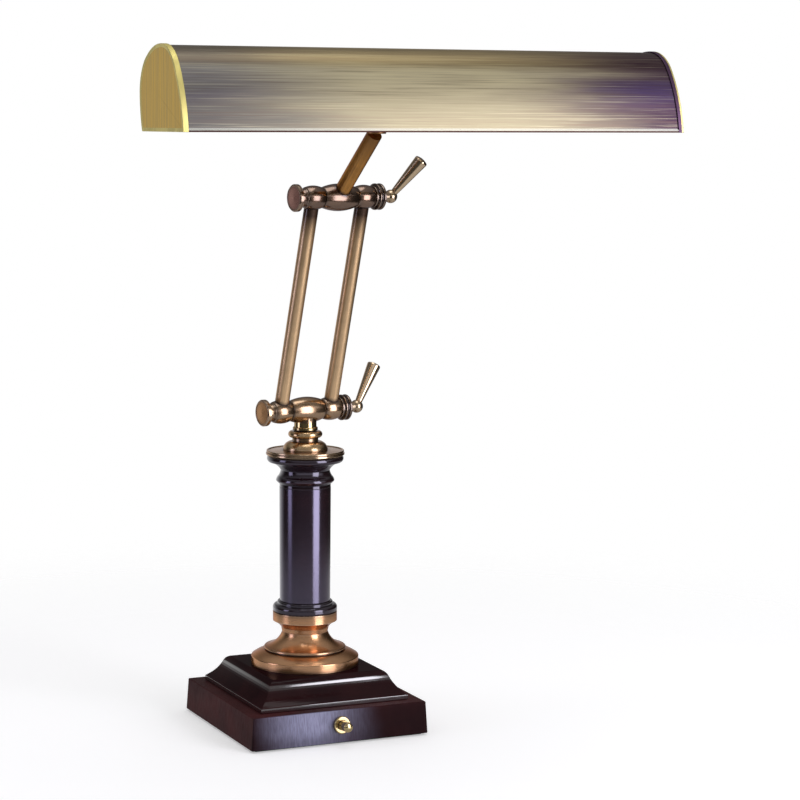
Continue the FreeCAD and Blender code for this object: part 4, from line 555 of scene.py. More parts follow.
def plinth_material():
    """Satin enamel of the plinth: red on the top and sides, the front darker as painted shade, with a painted
    sheen in the middle of the front.
    """
    colours = finish()
    material, tree, shader = new_material(
        "enamel_plinth",
        specular_ior_level=0.06,
        specular_tint=(1.0, 0.80, 0.82, 1),
        coat_roughness=0.30,
        coat_ior=1.9,
    )
    place = own_place(tree)
    hairs = brushing_of(tree, place, 1100.0, 110.0)
    haze = peel_of(tree, 700.0)["Haze"]
    split = axes_of(tree, place)
    low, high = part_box("base_plinth")
    front = span(tree, split["Y"], low.y + 0.0030, low.y + 0.0012)
    along = arithmetic(tree, "MULTIPLY_ADD", haze, 0.02, split["X"])
    left = span(tree, along, low.x + 0.006, low.x + 0.066)
    right = span(tree, along, high.x - 0.022, high.x - 0.105)
    up = span(tree, split["Z"], low.z + 0.001, low.z + 0.012)
    # Painted sheen, a painted reflection, in the middle of the front, weaker towards its sides and bottom.
    painted_sheen = arithmetic(tree, "MULTIPLY", arithmetic(tree, "MULTIPLY", left, right), front)
    painted_sheen = arithmetic(tree, "MULTIPLY", painted_sheen, arithmetic(tree, "MULTIPLY_ADD", up, 0.45, 0.55))
    painted_sheen = arithmetic(tree, "MULTIPLY", painted_sheen, span(tree, hairs["Lines"], 0.35, 0.65, 0.70, 1.0))
    base = blend_colours(tree, span(tree, haze, 0.35, 0.7, 0.55, 1.0), colours.enamel, colours.enamel_warm)
    # Painted shade: the front is darker than the top and sides.
    base = blend_colours(tree, arithmetic(tree, "MULTIPLY", front, 0.75), base, colours.enamel)
    base = blend_colours(tree, painted_sheen, base, colours.enamel_painted_sheen)
    # Darker along the convex edges that rub_edges marks.
    wear = arithmetic(tree, "MULTIPLY", attribute(tree, "wear", "Fac"), 0.45)
    base = blend_colours(tree, wear, base, PLINTH_EDGE_DARK)
    tree.links.new(arithmetic(tree, "MULTIPLY", painted_sheen, 0.8), shader.inputs["Coat Weight"])
    rough = span(tree, hairs["Lines"], 0.3, 0.7, 0.46, 0.62)
    dress(tree, shader, base, rough, hairs["Lines"], 0.35, 0.00006)
    return material


# ---------------------------------------------------------------------------
# Meshes
# ---------------------------------------------------------------------------


def local_frame(origin, axis, toward):
    """Matrix from a frame at the origin, its Z along the axis and its X near the other direction."""
    z = Vector(axis).normalized()
    x = Vector(toward) - Vector(toward).dot(z) * z
    x.normalize()
    y = z.cross(x)
    columns = Matrix((x, y, z)).transposed().to_4x4()
    return Matrix.Translation(Vector(origin)) @ columns


def joined(node, place=None):
    """The CAD node's triangles joined into one surface, in the frame of the place."""
    bm = bmesh.new()
    bm.from_mesh(NODES[node].data)
    bmesh.ops.remove_doubles(bm, verts=bm.verts, dist=MERGE)
    if place is not None:
        bmesh.ops.transform(bm, matrix=place.inverted(), verts=bm.verts)
    return bm


def half_section(node, place):
    """Runs of points (radius, height) where the half plane x > 0, y = 0 of the place cuts the node."""
    bm = joined(node, place)
    for normal in ((1, 0, 0), (0, 1, 0)):
        geometry = bm.verts[:] + bm.edges[:] + bm.faces[:]
        cut = bmesh.ops.bisect_plane(bm, geom=geometry, dist=MERGE, plane_co=(0, 0, 0), plane_no=normal)
    links = {}
    for edge in cut["geom_cut"]:
        if not isinstance(edge, bmesh.types.BMEdge):
            continue
        first, second = edge.verts
        if min(first.co.x, second.co.x) < -MERGE or max(first.co.x, second.co.x) < MERGE:
            continue
        links.setdefault(first, []).append(second)
        links.setdefault(second, []).append(first)
    runs = []
    while links:
        ends = [vert for vert, others in links.items() if len(others) == 1]
        here = ends[0] if ends else next(iter(links))
        run = [here]
        while links.get(here):
            there = links[here].pop()
            links[there].remove(here)
            run.append(there)
            here = there
        runs.append([Vector((max(0.0, vert.co.x), vert.co.z)) for vert in run])
        links = {vert: others for vert, others in links.items() if others}
    bm.free()
    if not runs:
        raise RuntimeError(f"{node} has no outline in its frame")
    return runs


def signed_area(points):
    total = 0.0
    for here, there in zip(points, points[1:] + points[:1]):
        total += here.x * there.y - there.x * here.y
    return total / 2


def tidy_run(points):
    """The run turned anticlockwise, without its doubled points. Returns the points and whether it closes."""
    closed = (points[0] - points[-1]).length < 2 * MERGE
    kept = [points[0]]
    for point in points[1:]:
        if (point - kept[-1]).length > 4 * MERGE:
            kept.append(point)
    if closed and (kept[0] - kept[-1]).length < 4 * MERGE:
        kept.pop()
    if signed_area(kept) < 0:
        kept.reverse()
    return kept, closed


def corner_turn(before, here, after):
    """Turn at a point, in radians, positive where the outline is convex."""
    first, second = here - before, after - here
    return math.atan2(first.x * second.y - first.y * second.x, first.dot(second))


def round_corners(points, closed, radius):
    """The run with an arc at each sharp corner. Also returns the corners as (place, turn)."""
    count = len(points)
    rounded, corners = [], []
    for index, here in enumerate(points):
        if not closed and index in (0, count - 1):
            rounded.append(here)
            continue
        before, after = points[index - 1], points[(index + 1) % count]
        turn = corner_turn(before, here, after)
        if abs(turn) < SHARP_CORNER:
            rounded.append(here)
            continue
        corners.append((here, turn))
        back, on = (before - here), (after - here)
        wanted = radius * math.tan(min(abs(turn), TIGHTEST_CORNER) / 2)
        reach = min(wanted, CORNER_SHARE * back.length, CORNER_SHARE * on.length)
        start, stop = here + back.normalized() * reach, here + on.normalized() * reach
        for step in range(ARC_POINTS):
            share_on = step / (ARC_POINTS - 1)
            rounded.append(start.lerp(here, share_on).lerp(here.lerp(stop, share_on), share_on))
    return rounded, corners


def add_supports(points, closed):
    """More points beside the corners, so that shading and wear stay near them."""
    out = []
    pairs = list(zip(points, points[1:] + points[:1]))
    if not closed:
        pairs = pairs[:-1]
    for here, there in pairs:
        out.append(here)
        length = (there - here).length
        steps = [step for step in SUPPORTS if step < 0.45 * length]
        for along in steps + sorted(length - step for step in steps):
            out.append(here.lerp(there, along / length))
    if not closed:
        out.append(points[-1])
    return out


def nearness(place, corners, reach, convex):
    """From 1 at the nearest corner of that kind to 0 at the reach."""
    best = 0.0
    for corner, turn in corners:
        if (turn > 0) != convex:
            continue
        strength = min(1.0, abs(turn) / FULL_CORNER)
        distance = (place - corner).length
        best = max(best, strength * max(0.0, 1 - distance / reach) ** 1.5)
    return best


def outline_mesh(name, runs, edge, stretch=1.0, threaded=False):
    """Edges along the runs with rounded corners, as the lathe tree takes them, with their wear and grime."""
    settings = shape()
    verts, edges, wear, grime_and_shade = [], [], [], []
    for run in runs:
        points, closed = tidy_run(run)
        if len(points) < 2:
            continue
        rounded, corners = round_corners(points, closed, edge)
        if threaded:
            rounded = thread_side(rounded)
        first = len(verts)
        for point in add_supports(rounded, closed):
            verts.append((point.x * stretch - SWEEP_CIRCLE, -point.y, 0))
            wear.append(nearness(point, corners, settings.wear_reach, True))
            grime_and_shade.append(nearness(point, corners, settings.grime_reach, False))
        last = len(verts) - 1
        edges += [(index, index + 1) for index in range(first, last)]
        if closed:
            edges.append((last, first))
    seed = bpy.data.meshes.new(name + "_outline")
    seed.from_pydata(verts, edges, [])
    for label, values in (("wear", wear), ("grime_and_shade", grime_and_shade)):
        seed.attributes.new(label, "FLOAT", "POINT").data.foreach_set("value", values)
    return seed


def swept(tree, entry):
    """The outline swept round the circle and welded where it meets the axis."""
    profile = put(tree, "GeometryNodeMeshToCurve", {"Mesh": entry["Outline"]}).outputs[0]
    size = {"Resolution": entry["Steps Around"], "Radius": entry["Circle"]}
    circle = put(tree, "GeometryNodeCurvePrimitiveCircle", size, mode="RADIUS").outputs["Curve"]
    turned = put(tree, "GeometryNodeCurveToMesh", {"Curve": circle, "Profile Curve": profile}).outputs[0]
    return put(tree, "GeometryNodeMergeByDistance", {"Geometry": turned, "Distance": MERGE}).outputs[0]


def end_tree(tree, geometry, entry, exit_node):
    whole = put(tree, "GeometryNodeRealizeInstances", {"Geometry": geometry}).outputs[0]
    made = put(tree, "GeometryNodeSetMaterial", {"Geometry": whole, "Material": entry["Material"]}).outputs[0]
    tree.links.new(made, exit_node["Geometry"])


@cache
def lathe_tree():
    """Turns an outline of edges about Z. Its X is the radius less the circle's, and its -Y the height."""
    tree, entry, exit_node = new_tree(
        "lathe",
        "GeometryNodeTree",
        [
            ("Outline", "Geometry", None),
            ("Steps Around", "Int", 96),
            ("Circle", "Float", SWEEP_CIRCLE),
            ("Smooth", "Bool", True),
            ("Material", "Material", None),
        ],
        [("Geometry", "Geometry")],
    )
    place = put(tree, "GeometryNodeInputPosition").outputs[0]
    marked = put(
        tree,
        "GeometryNodeStoreNamedAttribute",
        {"Geometry": swept(tree, entry), "Name": "local", "Value": place},
        data_type="FLOAT_VECTOR",
        domain="POINT",
    ).outputs[0]
    shading = {"Geometry": marked, "Shade Smooth": entry["Smooth"]}
    smooth = put(tree, "GeometryNodeSetShadeSmooth", shading).outputs[0]
    end_tree(tree, smooth, entry, exit_node)
    return tree


def plain_mesh(holder):
    """Mesh of an object with its modifiers applied."""
    graph = bpy.context.evaluated_depsgraph_get()
    evaluated = holder.evaluated_get(graph)
    return bpy.data.meshes.new_from_object(evaluated, preserve_all_data_layers=True, depsgraph=graph)


def baked(name, seed_mesh, tree, inputs):
    """Plain mesh that the node tree makes from the seed mesh."""
    seed = bpy.data.objects.new(name + "_seed", seed_mesh)
    bpy.context.scene.collection.objects.link(seed)
    modifier = seed.modifiers.new("nodes", "NODES")
    modifier.node_group = tree
    for item in tree.interface.items_tree:
        if item.item_type == "SOCKET" and item.in_out == "INPUT" and item.name in inputs:
            modifier[item.identifier] = inputs[item.name]
    mesh = plain_mesh(seed)
    mesh.name = name
    bpy.data.objects.remove(seed)
    return mesh


def turned_mesh(name, node, place, material, around=None, edge=None, threaded=False):
    """A CAD node's outline turned again with rounded edges, about the place's Z."""
    settings = shape()
    seed = outline_mesh(name, half_section(node, place), edge or settings.edge, threaded=threaded)
    inputs = {
        "Steps Around": around or settings.around,
        "Circle": SWEEP_CIRCLE,
        "Smooth": True,
        "Material": material,
    }
    mesh = baked(name, seed, lathe_tree(), inputs)
    mesh.transform(place)
    return face_outward(mesh)


def thread_side(points):
    """The outline with the rolled waves of a screw shell on its longest outer side."""
    pitch, depth = shape().thread_pitch, shape().thread_depth
    pairs = list(enumerate(zip(points, points[1:])))
    sides = [index for index, (here, there) in pairs if abs(here.x - there.x) < 10 * MERGE]
    widest = max(points[index].x for index in sides)
    outer = [index for index in sides if points[index].x > widest - 10 * MERGE]
    longest = max(outer, key=lambda index: (points[index + 1] - points[index]).length)
    start, stop = points[longest], points[longest + 1]
    steps = int((stop - start).length / pitch) * POINTS_PER_THREAD
    waves = []
    for step in range(1, steps):
        wave = start.lerp(stop, step / steps)
        wave.x -= depth * (1 - math.cos(math.tau * step / POINTS_PER_THREAD)) / 2
        waves.append(wave)
    return points[: longest + 1] + waves + points[longest + 1 :]


def face_outward(mesh):
    """Joins doubled points and turns the faces outward."""
    bm = bmesh.new()
    bm.from_mesh(mesh)
    bmesh.ops.remove_doubles(bm, verts=bm.verts, dist=MERGE / 2)
    bmesh.ops.recalc_face_normals(bm, faces=bm.faces)
    if bm.calc_volume(signed=True) < 0:
        bmesh.ops.reverse_faces(bm, faces=bm.faces)
    bm.to_mesh(mesh)
    bm.free()
    return mesh


def smooth_but_for(bm, sharp):
    """Smooth faces, with sharp edges where they meet at more than an angle in degrees."""
    for face in bm.faces:
        face.smooth = True
    for edge in bm.edges:
        edge.smooth = len(edge.link_faces) == 2 and edge.calc_face_angle(0) < math.radians(sharp)


def mark_facing(mesh):
    """Stores how far each face corner's normal points up, from -1 to 1, for the enamel."""
    facing = mesh.attributes.new("facing", "FLOAT", "CORNER")
    facing.data.foreach_set("value", [normal.vector.z for normal in mesh.corner_normals])


def joined_mesh(name, node, place, rings=(), sharp=32.0):
    """A CAD node's surface joined, smooth but for its sharp edges, with extra rings across the place's Z."""
    bm = joined(node, place)
    bmesh.ops.dissolve_limit(
        bm, angle_limit=FLAT_ENOUGH, use_dissolve_boundaries=False, verts=bm.verts, edges=bm.edges
    )
    for height in rings:
        geometry = bm.verts[:] + bm.edges[:] + bm.faces[:]
        bmesh.ops.bisect_plane(bm, geom=geometry, dist=MERGE, plane_co=(0, 0, height), plane_no=(0, 0, 1))
    smooth_but_for(bm, sharp)
    mesh = bpy.data.meshes.new(name)
    bm.to_mesh(mesh)
    bm.free()
    if "custom_normal" in mesh.attributes:
        mesh.attributes.remove(mesh.attributes["custom_normal"])
    mesh.materials.clear()
    local = mesh.attributes.new("local", "FLOAT_VECTOR", "POINT")
    local.data.foreach_set("vector", [part for vert in mesh.vertices for part in vert.co])
    mesh.attributes.new("wear", "FLOAT", "POINT")
    mesh.attributes.new("grime_and_shade", "FLOAT", "POINT")
    mesh.transform(place)
    return mesh


def rub_edges(mesh, reach, least=0.6):
    """Wear near the convex edges of a joined mesh that turn by more than an angle in radians."""
    bm = bmesh.new()
    bm.from_mesh(mesh)
    marks = []
    for edge in bm.edges:
        if len(edge.link_faces) == 2 and edge.calc_face_angle_signed(0) > least:
            steps = max(1, int(edge.calc_length() / (reach / 2)))
            marks += [edge.verts[0].co.lerp(edge.verts[1].co, step / steps) for step in range(steps + 1)]
    bm.free()
    if not marks:
        raise RuntimeError(f"{mesh.name} has no edges to rub")
    tree = KDTree(len(marks))
    for index, place in enumerate(marks):
        tree.insert(place, index)
    tree.balance()
    wear = mesh.attributes["wear"].data
    for index, vert in enumerate(mesh.vertices):
        distance = tree.find(vert.co)[2]
        wear[index].value = max(wear[index].value, max(0.0, 1 - distance / reach))


@cache
def surface_of(node):
    mesh = NODES[node].data
    polygons = [tuple(polygon.vertices) for polygon in mesh.polygons]
    return BVHTree.FromPolygons([vert.co for vert in mesh.vertices], polygons)


def dirty_joints(mesh, node, strength=1.0):
    """Grime where the piece comes near another one."""
    reach = shape().grime_reach
    low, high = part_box(node)
    near = []
    for other in NODES:
        other_low, other_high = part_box(other)
        close = all(other_low[k] - reach < high[k] and low[k] - reach < other_high[k] for k in range(3))
        if other != node and close:
            near.append(surface_of(other))
    grime_and_shade = mesh.attributes["grime_and_shade"].data
    for index, vert in enumerate(mesh.vertices):
        best = reach
        for surface in near:
            found = surface.find_nearest(vert.co, best)
            if found[0] is not None:
                best = min(best, found[3])
        value = strength * max(0.0, 1 - best / reach)
        grime_and_shade[index].value = max(grime_and_shade[index].value, value)


def show(name, mesh, node, material=None):
    """Puts a finished mesh in the scene in the place of its CAD node."""
    piece = bpy.data.objects.new(name, mesh)
    bpy.context.scene.collection.objects.link(piece)
    if material is not None:
        mesh.materials.clear()
        mesh.materials.append(material)
    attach(piece, BODY_OF[node])
    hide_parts(node)
    return piece


def coat(node, material):
    """Gives a CAD node that stays its finish."""
    for slot in NODES[node].material_slots:
        slot.material = material


# ---------------------------------------------------------------------------
# Frames of the pieces
# ---------------------------------------------------------------------------


def joint_place(name):
    return Vector(JOINTS[name]["pos_m"])


def joint_axis(name):
    return Vector(JOINTS[name]["axis"])


def arm_direction():
    return (joint_place("shade_tilt") - joint_place("arm_swing")).normalized()


def stem_direction():
    return (joint_place("shade_swivel") - joint_place("shade_tilt")).normalized()


def lower_frame():
    return local_frame(joint_place("arm_swing"), joint_axis("arm_swing"), -arm_direction())


def upper_frame():
    return local_frame(joint_place("shade_tilt"), joint_axis("shade_tilt"), arm_direction())


def stem_hub_frame():
    return local_frame(joint_place("shade_tilt"), joint_axis("shade_tilt"), -stem_direction())


def dimmer_frame():
    return local_frame(joint_place("dimmer_turn"), joint_axis("dimmer_turn"), X_AXIS)


def inlet_frame():
    mount = MOUNTS["cord_inlet"]
    return local_frame(mount["pos_m"], mount["axis"], X_AXIS)


def middle_of(node):
    low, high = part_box(node)
    return (low + high) / 2


def lamp_frame():
    return local_frame(middle_of("lamp_holder_left"), X_AXIS, Z_AXIS)


def nipple_frame():
    return local_frame(middle_of("shade_nipple"), Y_AXIS, X_AXIS)


def swivel_frame():
    return local_frame(joint_place("shade_swivel"), Z_AXIS, X_AXIS)


# ---------------------------------------------------------------------------
# Operators
# ---------------------------------------------------------------------------


class LAMP_OT_column(bpy.types.Operator):
    """Turns the foot, collar, tube, capital, cap and swivel socket"""

    bl_idname = "lamp.column"
    bl_label = "Column"

    def execute(self, context):
        colours = finish()
        foot = brass_material(
            "spun_brass_foot",
            colours.copper,
            0.24,
            cloudiness=0.0,
            line_depth=0.14,
            relief=0.0,
            lacquer=0.5,
            spread=0.6,
            fineness=1500.0,
            edge_tint=(0.45, 0.24, 0.16),
        )
        warm = brass_material(
            "turned_brass_warm",
            colours.cap,
            0.19,
            cloudiness=0.08,
            line_depth=0.20,
            spread=0.5,
            edge_tint=(0.6, 0.4, 0.3),
        )
        tube = enamel_material(
            "enamel_tube",
            gloss=0.16,
            grain=1300.0,
            drag=(1, 1, 0.35),
            relief=0.30,
            red=0.05,
            specular=0.56,
            coat_ior=1.3,
            steep=0.7,
        )
        rings = enamel_material(
            "enamel_rings",
            gloss=0.12,
            grain=1200.0,
            drag=(1, 1, 1),
            relief=0.06,
            red=0.03,
            specular=0.25,
            coat_ior=1.5,
            steep=0.7,
        )
        for node, material in (
            ("foot_bell", foot),
            ("column_collar", rings),
            ("column_tube", tube),
            ("column_capital", rings),
            ("cap_disc", warm),
            ("swivel_socket", warm),
        ):
            name = node + "_turned"
            mesh = turned_mesh(name, node, Matrix.Identity(4), material, around=160)
            dirty_joints(mesh, node, 0.9)
            if material in (tube, rings):
                mark_facing(mesh)
            piece = show(name, mesh, node)
            if node == "swivel_socket":
                drill(piece, "column_set_screw")
        return {"FINISHED"}


def drill(piece, screw):
    """Hole round a set screw, through to the bore."""
    low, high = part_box(screw)
    radius = (high.x - low.x) / 2 + SCREW_PLAY
    depth = (high.y - low.y) + DRILL_BEYOND
    bm = bmesh.new()
    bmesh.ops.create_cone(bm, cap_ends=True, segments=40, radius1=radius, radius2=radius, depth=depth)
    turn = Matrix.Rotation(math.radians(90), 4, "X")
    bmesh.ops.transform(bm, matrix=Matrix.Translation(middle_of(screw)) @ turn, verts=bm.verts)
    mesh = bpy.data.meshes.new("drill")
    bm.to_mesh(mesh)
    bm.free()
    tool = bpy.data.objects.new("drill", mesh)
    bpy.context.scene.collection.objects.link(tool)
    modifier = piece.modifiers.new("hole", "BOOLEAN")
    modifier.object = tool
    modifier.solver = "EXACT"
    result = plain_mesh(piece)
    piece.modifiers.clear()
    piece.data = result
    bpy.data.objects.remove(tool)


class LAMP_OT_base(bpy.types.Operator):
    """Finishes the plinth, the square step, the felt and the bottom plate"""

    bl_idname = "lamp.base"
    bl_label = "Base"

    def execute(self, context):
        satin = plinth_material()
        gloss = enamel_material(
            "enamel_step",
            gloss=0.10,
            grain=900.0,
            drag=(1, 1, 1),
            relief=0.05,
            red=0.08,
            specular=0.0,
            coat_ior=2.7,
            steep=0.40,
        )
        plinth = joined_mesh("base_plinth_cast", "base_plinth", Matrix.Identity(4))
        piece = show("base_plinth_cast", plinth, "base_plinth", satin)
        round_edges(piece, shape().plinth_edge, 50)
        rub_edges(piece.data, shape().wear_reach, 0.2)
        step = square_step("base_step_cast", gloss)
        mark_facing(step)
        show("base_step_cast", step, "base_step")
        coat("felt_pad", felt_material())
        coat("bottom_plate", zinc_plate())
        coat("weight_plate", plain_metal("cast_iron", (0.11, 0.105, 0.10), 0.6, 600.0))
        return {"FINISHED"}


def square_step(name, material):
    """The step's outline led round a square with mitred corners, its edges rounded."""
    width = shape().step_edge
    runs = half_section("base_step", Matrix.Identity(4))
    seed = outline_mesh(name, runs, width, stretch=math.sqrt(2))
    inputs = {"Steps Around": 4, "Circle": SWEEP_CIRCLE, "Smooth": True, "Material": material}
    mesh = baked(name, seed, lathe_tree(), inputs)
    mesh.transform(Matrix.Rotation(math.radians(45), 4, "Z"))
    mesh = face_outward(mesh)
    bm = bmesh.new()
    bm.from_mesh(mesh)
    mitres = []
    for edge in bm.edges:
        ends = [vert.co for vert in edge.verts]
        outer = min(abs(co.x) for co in ends) > STEP_HOLLOW
        diagonal = max(abs(abs(co.x) - abs(co.y)) for co in ends) < MERGE * 5
        if outer and diagonal:
            mitres.append(edge)
    bmesh.ops.bevel(
        bm, geom=mitres, offset=width, segments=3, profile=0.5, affect="EDGES", clamp_overlap=True
    )
    smooth_but_for(bm, 40)
    bm.to_mesh(mesh)
    bm.free()
    return mesh


def felt_material():
    material, tree, shader = new_material("felt", roughness=1.0, sheen_weight=0.5)
    fibre = noise(tree, own_place(tree), 2600.0, 5.0, 0.7)
    green = finish().felt
    colour = blend_colours(tree, span(tree, fibre, 0.3, 0.7), green, [part * 2.2 for part in green])
    dress(tree, shader, colour, None, fibre, 0.8, 0.0003)
    return material


class LAMP_OT_dimmer(bpy.types.Operator):
    """Turns the dimmer's ring and knob, and the cord grommet"""

    bl_idname = "lamp.dimmer"
    bl_label = "Dimmer and cord inlet"

    def execute(self, context):
        for node in ("dimmer_ring", "dimmer_knob"):
            name = node + "_turned"
            mesh = turned_mesh(name, node, dimmer_frame(), polished_brass(), around=96, edge=0.0003)
            dirty_joints(mesh, node, 0.7)
            show(name, mesh, node)
        rubber = moulded_material(
            "black_moulding",
            1800.0,
            (0.014, 0.014, 0.015),
            (0.03, 0.029, 0.028),
            haze=(0.3, 0.7),
            rough=(0.45, 0.62),
            relief=0.3,
            specular_ior_level=0.4,
        )
        mesh = turned_mesh("cord_inlet_moulded", "cord_inlet", inlet_frame(), rubber, around=80, edge=0.0004)
        show("cord_inlet_moulded", mesh, "cord_inlet")
        coat("dimmer_case", rubber)
        coat("dimmer_shaft", zinc_plate())
        return {"FINISHED"}


class LAMP_OT_arms(bpy.types.Operator):
    """Finishes the yoke, barrels, rods, bolts, collars, levers and stem"""

    bl_idname = "lamp.arms"
    bl_label = "Swing arm"

    def execute(self, context):
        self.knuckles()
        self.rods()
        self.stem()
        self.yoke()
        self.levers()
        return {"FINISHED"}

    def knuckles(self):
        colours = finish()
        barrel = brass_material("barrel_brass", colours.barrel, 0.17, cloudiness=0.30, line_depth=0.16)
        black = brass_material("blackened_brass", colours.blackened, 0.20, cloudiness=0.2, line_depth=0.2)
        for node, place in (
            ("lower_hub_left", lower_frame()),
            ("lower_hub_right", lower_frame()),
            ("upper_hub_left", upper_frame()),
            ("upper_hub_right", upper_frame()),
            ("upper_centre_hub", stem_hub_frame()),
            ("lower_spring_washer", lower_frame()),
            ("upper_spring_washer", upper_frame()),
            ("lower_tension_collar", lower_frame()),
            ("upper_tension_collar", upper_frame()),
            ("lower_pivot_bolt", lower_frame()),
            ("upper_pivot_bolt", upper_frame()),
        ):
            material = barrel if node.startswith("upper") else turned_brass()
            if node.endswith(("washer", "collar")):
                material = black
            mesh = turned_mesh(node + "_turned", node, place, material, around=112)
            dirty_joints(mesh, node)
            if node.endswith("bolt"):
                self.face_disc(mesh, node, place)
            show(node + "_turned", mesh, node)

    def face_disc(self, mesh, node, place):
        """Broad outer face of a bolt's head in its own finish."""
        upper = node.startswith("upper")
        face = brass_material(
            "disc_upper" if upper else "disc_lower",
            finish().disc_upper if upper else finish().disc,
            0.26,
            cloudiness=0.08,
            line_depth=0.10,
            lacquer=0.35,
            edge_tint=(1.0, 0.95, 0.9),
        )
        mesh.materials.append(face)
        axis = place.to_3x3() @ Z_AXIS
        heights = [vert.co.dot(axis) for vert in mesh.vertices]
        radii = [(place.inverted() @ vert.co).xy.length for vert in mesh.vertices]
        widest = max(radii)
        head = heights[radii.index(widest)]
        outward = -1 if head < (min(heights) + max(heights)) / 2 else 1
        for polygon in mesh.polygons:
            reach = (place.inverted() @ polygon.center).xy.length
            if polygon.normal.dot(axis) * outward > 0.95 and reach < widest - shape().wear_reach:
                polygon.material_index = 1

    def rods(self):
        drawn = brass_material(
            "drawn_brass",
            finish().rod,
            0.33,
            lines="straight",
            cloudiness=0.16,
            line_depth=0.34,
            relief=0.0,
            lacquer=0.5,
            fineness=900.0,
        )
        reach = (joint_place("shade_tilt") - joint_place("arm_swing")).length
        rings = [step * RING_STEP for step in range(4, 16)]
        rings += [reach - height for height in rings] + [0.03, 0.05, 0.08, 0.11, 0.13]
        place = local_frame(joint_place("arm_swing"), arm_direction(), joint_axis("arm_swing"))
        for node in ("arm_rod_left", "arm_rod_right"):
            mesh = joined_mesh(node + "_drawn", node, centred(place, node), rings)
            dirty_joints(mesh, node)
            # Painted shade towards the rods' upper ends, under the upper barrel.
            shade_toward_end(mesh, joint_place("shade_tilt"), arm_direction(), 0.95)
            show(node + "_drawn", mesh, node, drawn)

    def stem(self):
        drawn = brass_material(
            "stem_brass",
            finish().stem,
            0.28,
            lines="straight",
            cloudiness=0.30,
            line_depth=0.40,
            relief=0.0,
            lacquer=0.25,
            fineness=900.0,
        )
        rings = [step * RING_STEP for step in range(4, 14)] + [0.025, 0.035, 0.045]
        place = local_frame(joint_place("shade_tilt"), stem_direction(), joint_axis("shade_tilt"))
        mesh = joined_mesh("stem_drawn", "stem", place, rings)
        dirty_joints(mesh, "stem")
        # Painted shade towards the stem's top, under the shade.
        shade_toward_end(mesh, joint_place("shade_swivel"), stem_direction(), 0.6)
        show("stem_drawn", mesh, "stem", drawn)

    def yoke(self):
        """Barrel in antique brass, post and spindle polished."""
        barrel = brass_material(
            "yoke_brass",
            finish().brass,
            0.19,
            lines="straight",
            cloudiness=0.18,
            line_depth=0.12,
            relief=0.0,
            fineness=1100.0,
        )
        post = brass_material("polished_post", finish().bright, 0.12, cloudiness=0.05, line_depth=0.1)
        place = Matrix.Translation(joint_place("arm_swing"))
        rings = [POST_RINGS_TOP + step * POST_RING_STEP for step in range(8)]
        mesh = joined_mesh("lower_yoke_turned", "lower_yoke", place, rings)
        dirty_joints(mesh, "lower_yoke")
        show("lower_yoke_turned", mesh, "lower_yoke", barrel)
        mesh.materials.append(post)
        level = joint_place("arm_swing").z + POST_TOP
        for polygon in mesh.polygons:
            if polygon.center.z < level:
                polygon.material_index = 1

    def levers(self):
        polish = brass_material(
            "lever_brass",
            finish().lever,
            0.15,
            lines="straight",
            cloudiness=0.0,
            line_depth=0.12,
            relief=0.0,
            lacquer=0.6,
            fineness=700.0,
        )
        for node, joint in (("lower_lever", "lower_lever_turn"), ("upper_lever", "upper_lever_turn")):
            origin, axis = joint_place(joint), joint_axis(joint)
            verts = [vert.co for vert in NODES[node].data.vertices]
            tip = max(verts, key=lambda co: (co - origin).length)
            end = [co for co in verts if (co - tip).length < LEVER_TIP]
            middle = sum(end, Vector()) / len(end)
            nearest = min(verts, key=lambda co: (co - origin).length)
            root = origin + axis * (nearest - origin).dot(axis)
            length = (middle - root).length
            rings = [length * step / 24 for step in range(5, 24)]
            place = local_frame(root, middle - root, axis)
            mesh = joined_mesh(node + "_turned", node, place, rings, sharp=28.0)
            dirty_joints(mesh, node, 0.8)
            rub_edges(mesh, shape().wear_reach)
            show(node + "_turned", mesh, node, polish)


def shade_toward_end(mesh, place, along, strength):
    """Painted shade: a long soft darkening towards the end of a rod that lies at the place."""
    reach = shape().end_shade_reach
    grime_and_shade = mesh.attributes["grime_and_shade"].data
    for index, vert in enumerate(mesh.vertices):
        away = abs((vert.co - place).dot(along))
        value = strength * min(1.0, max(0.0, 1.5 - 1.5 * away / reach))
        grime_and_shade[index].value = max(grime_and_shade[index].value, value)


def centred(place, node):
    """The place moved sideways to the middle of the node."""
    inside = place.inverted() @ middle_of(node)
    return place @ Matrix.Translation(Vector((inside.x, inside.y, 0)))


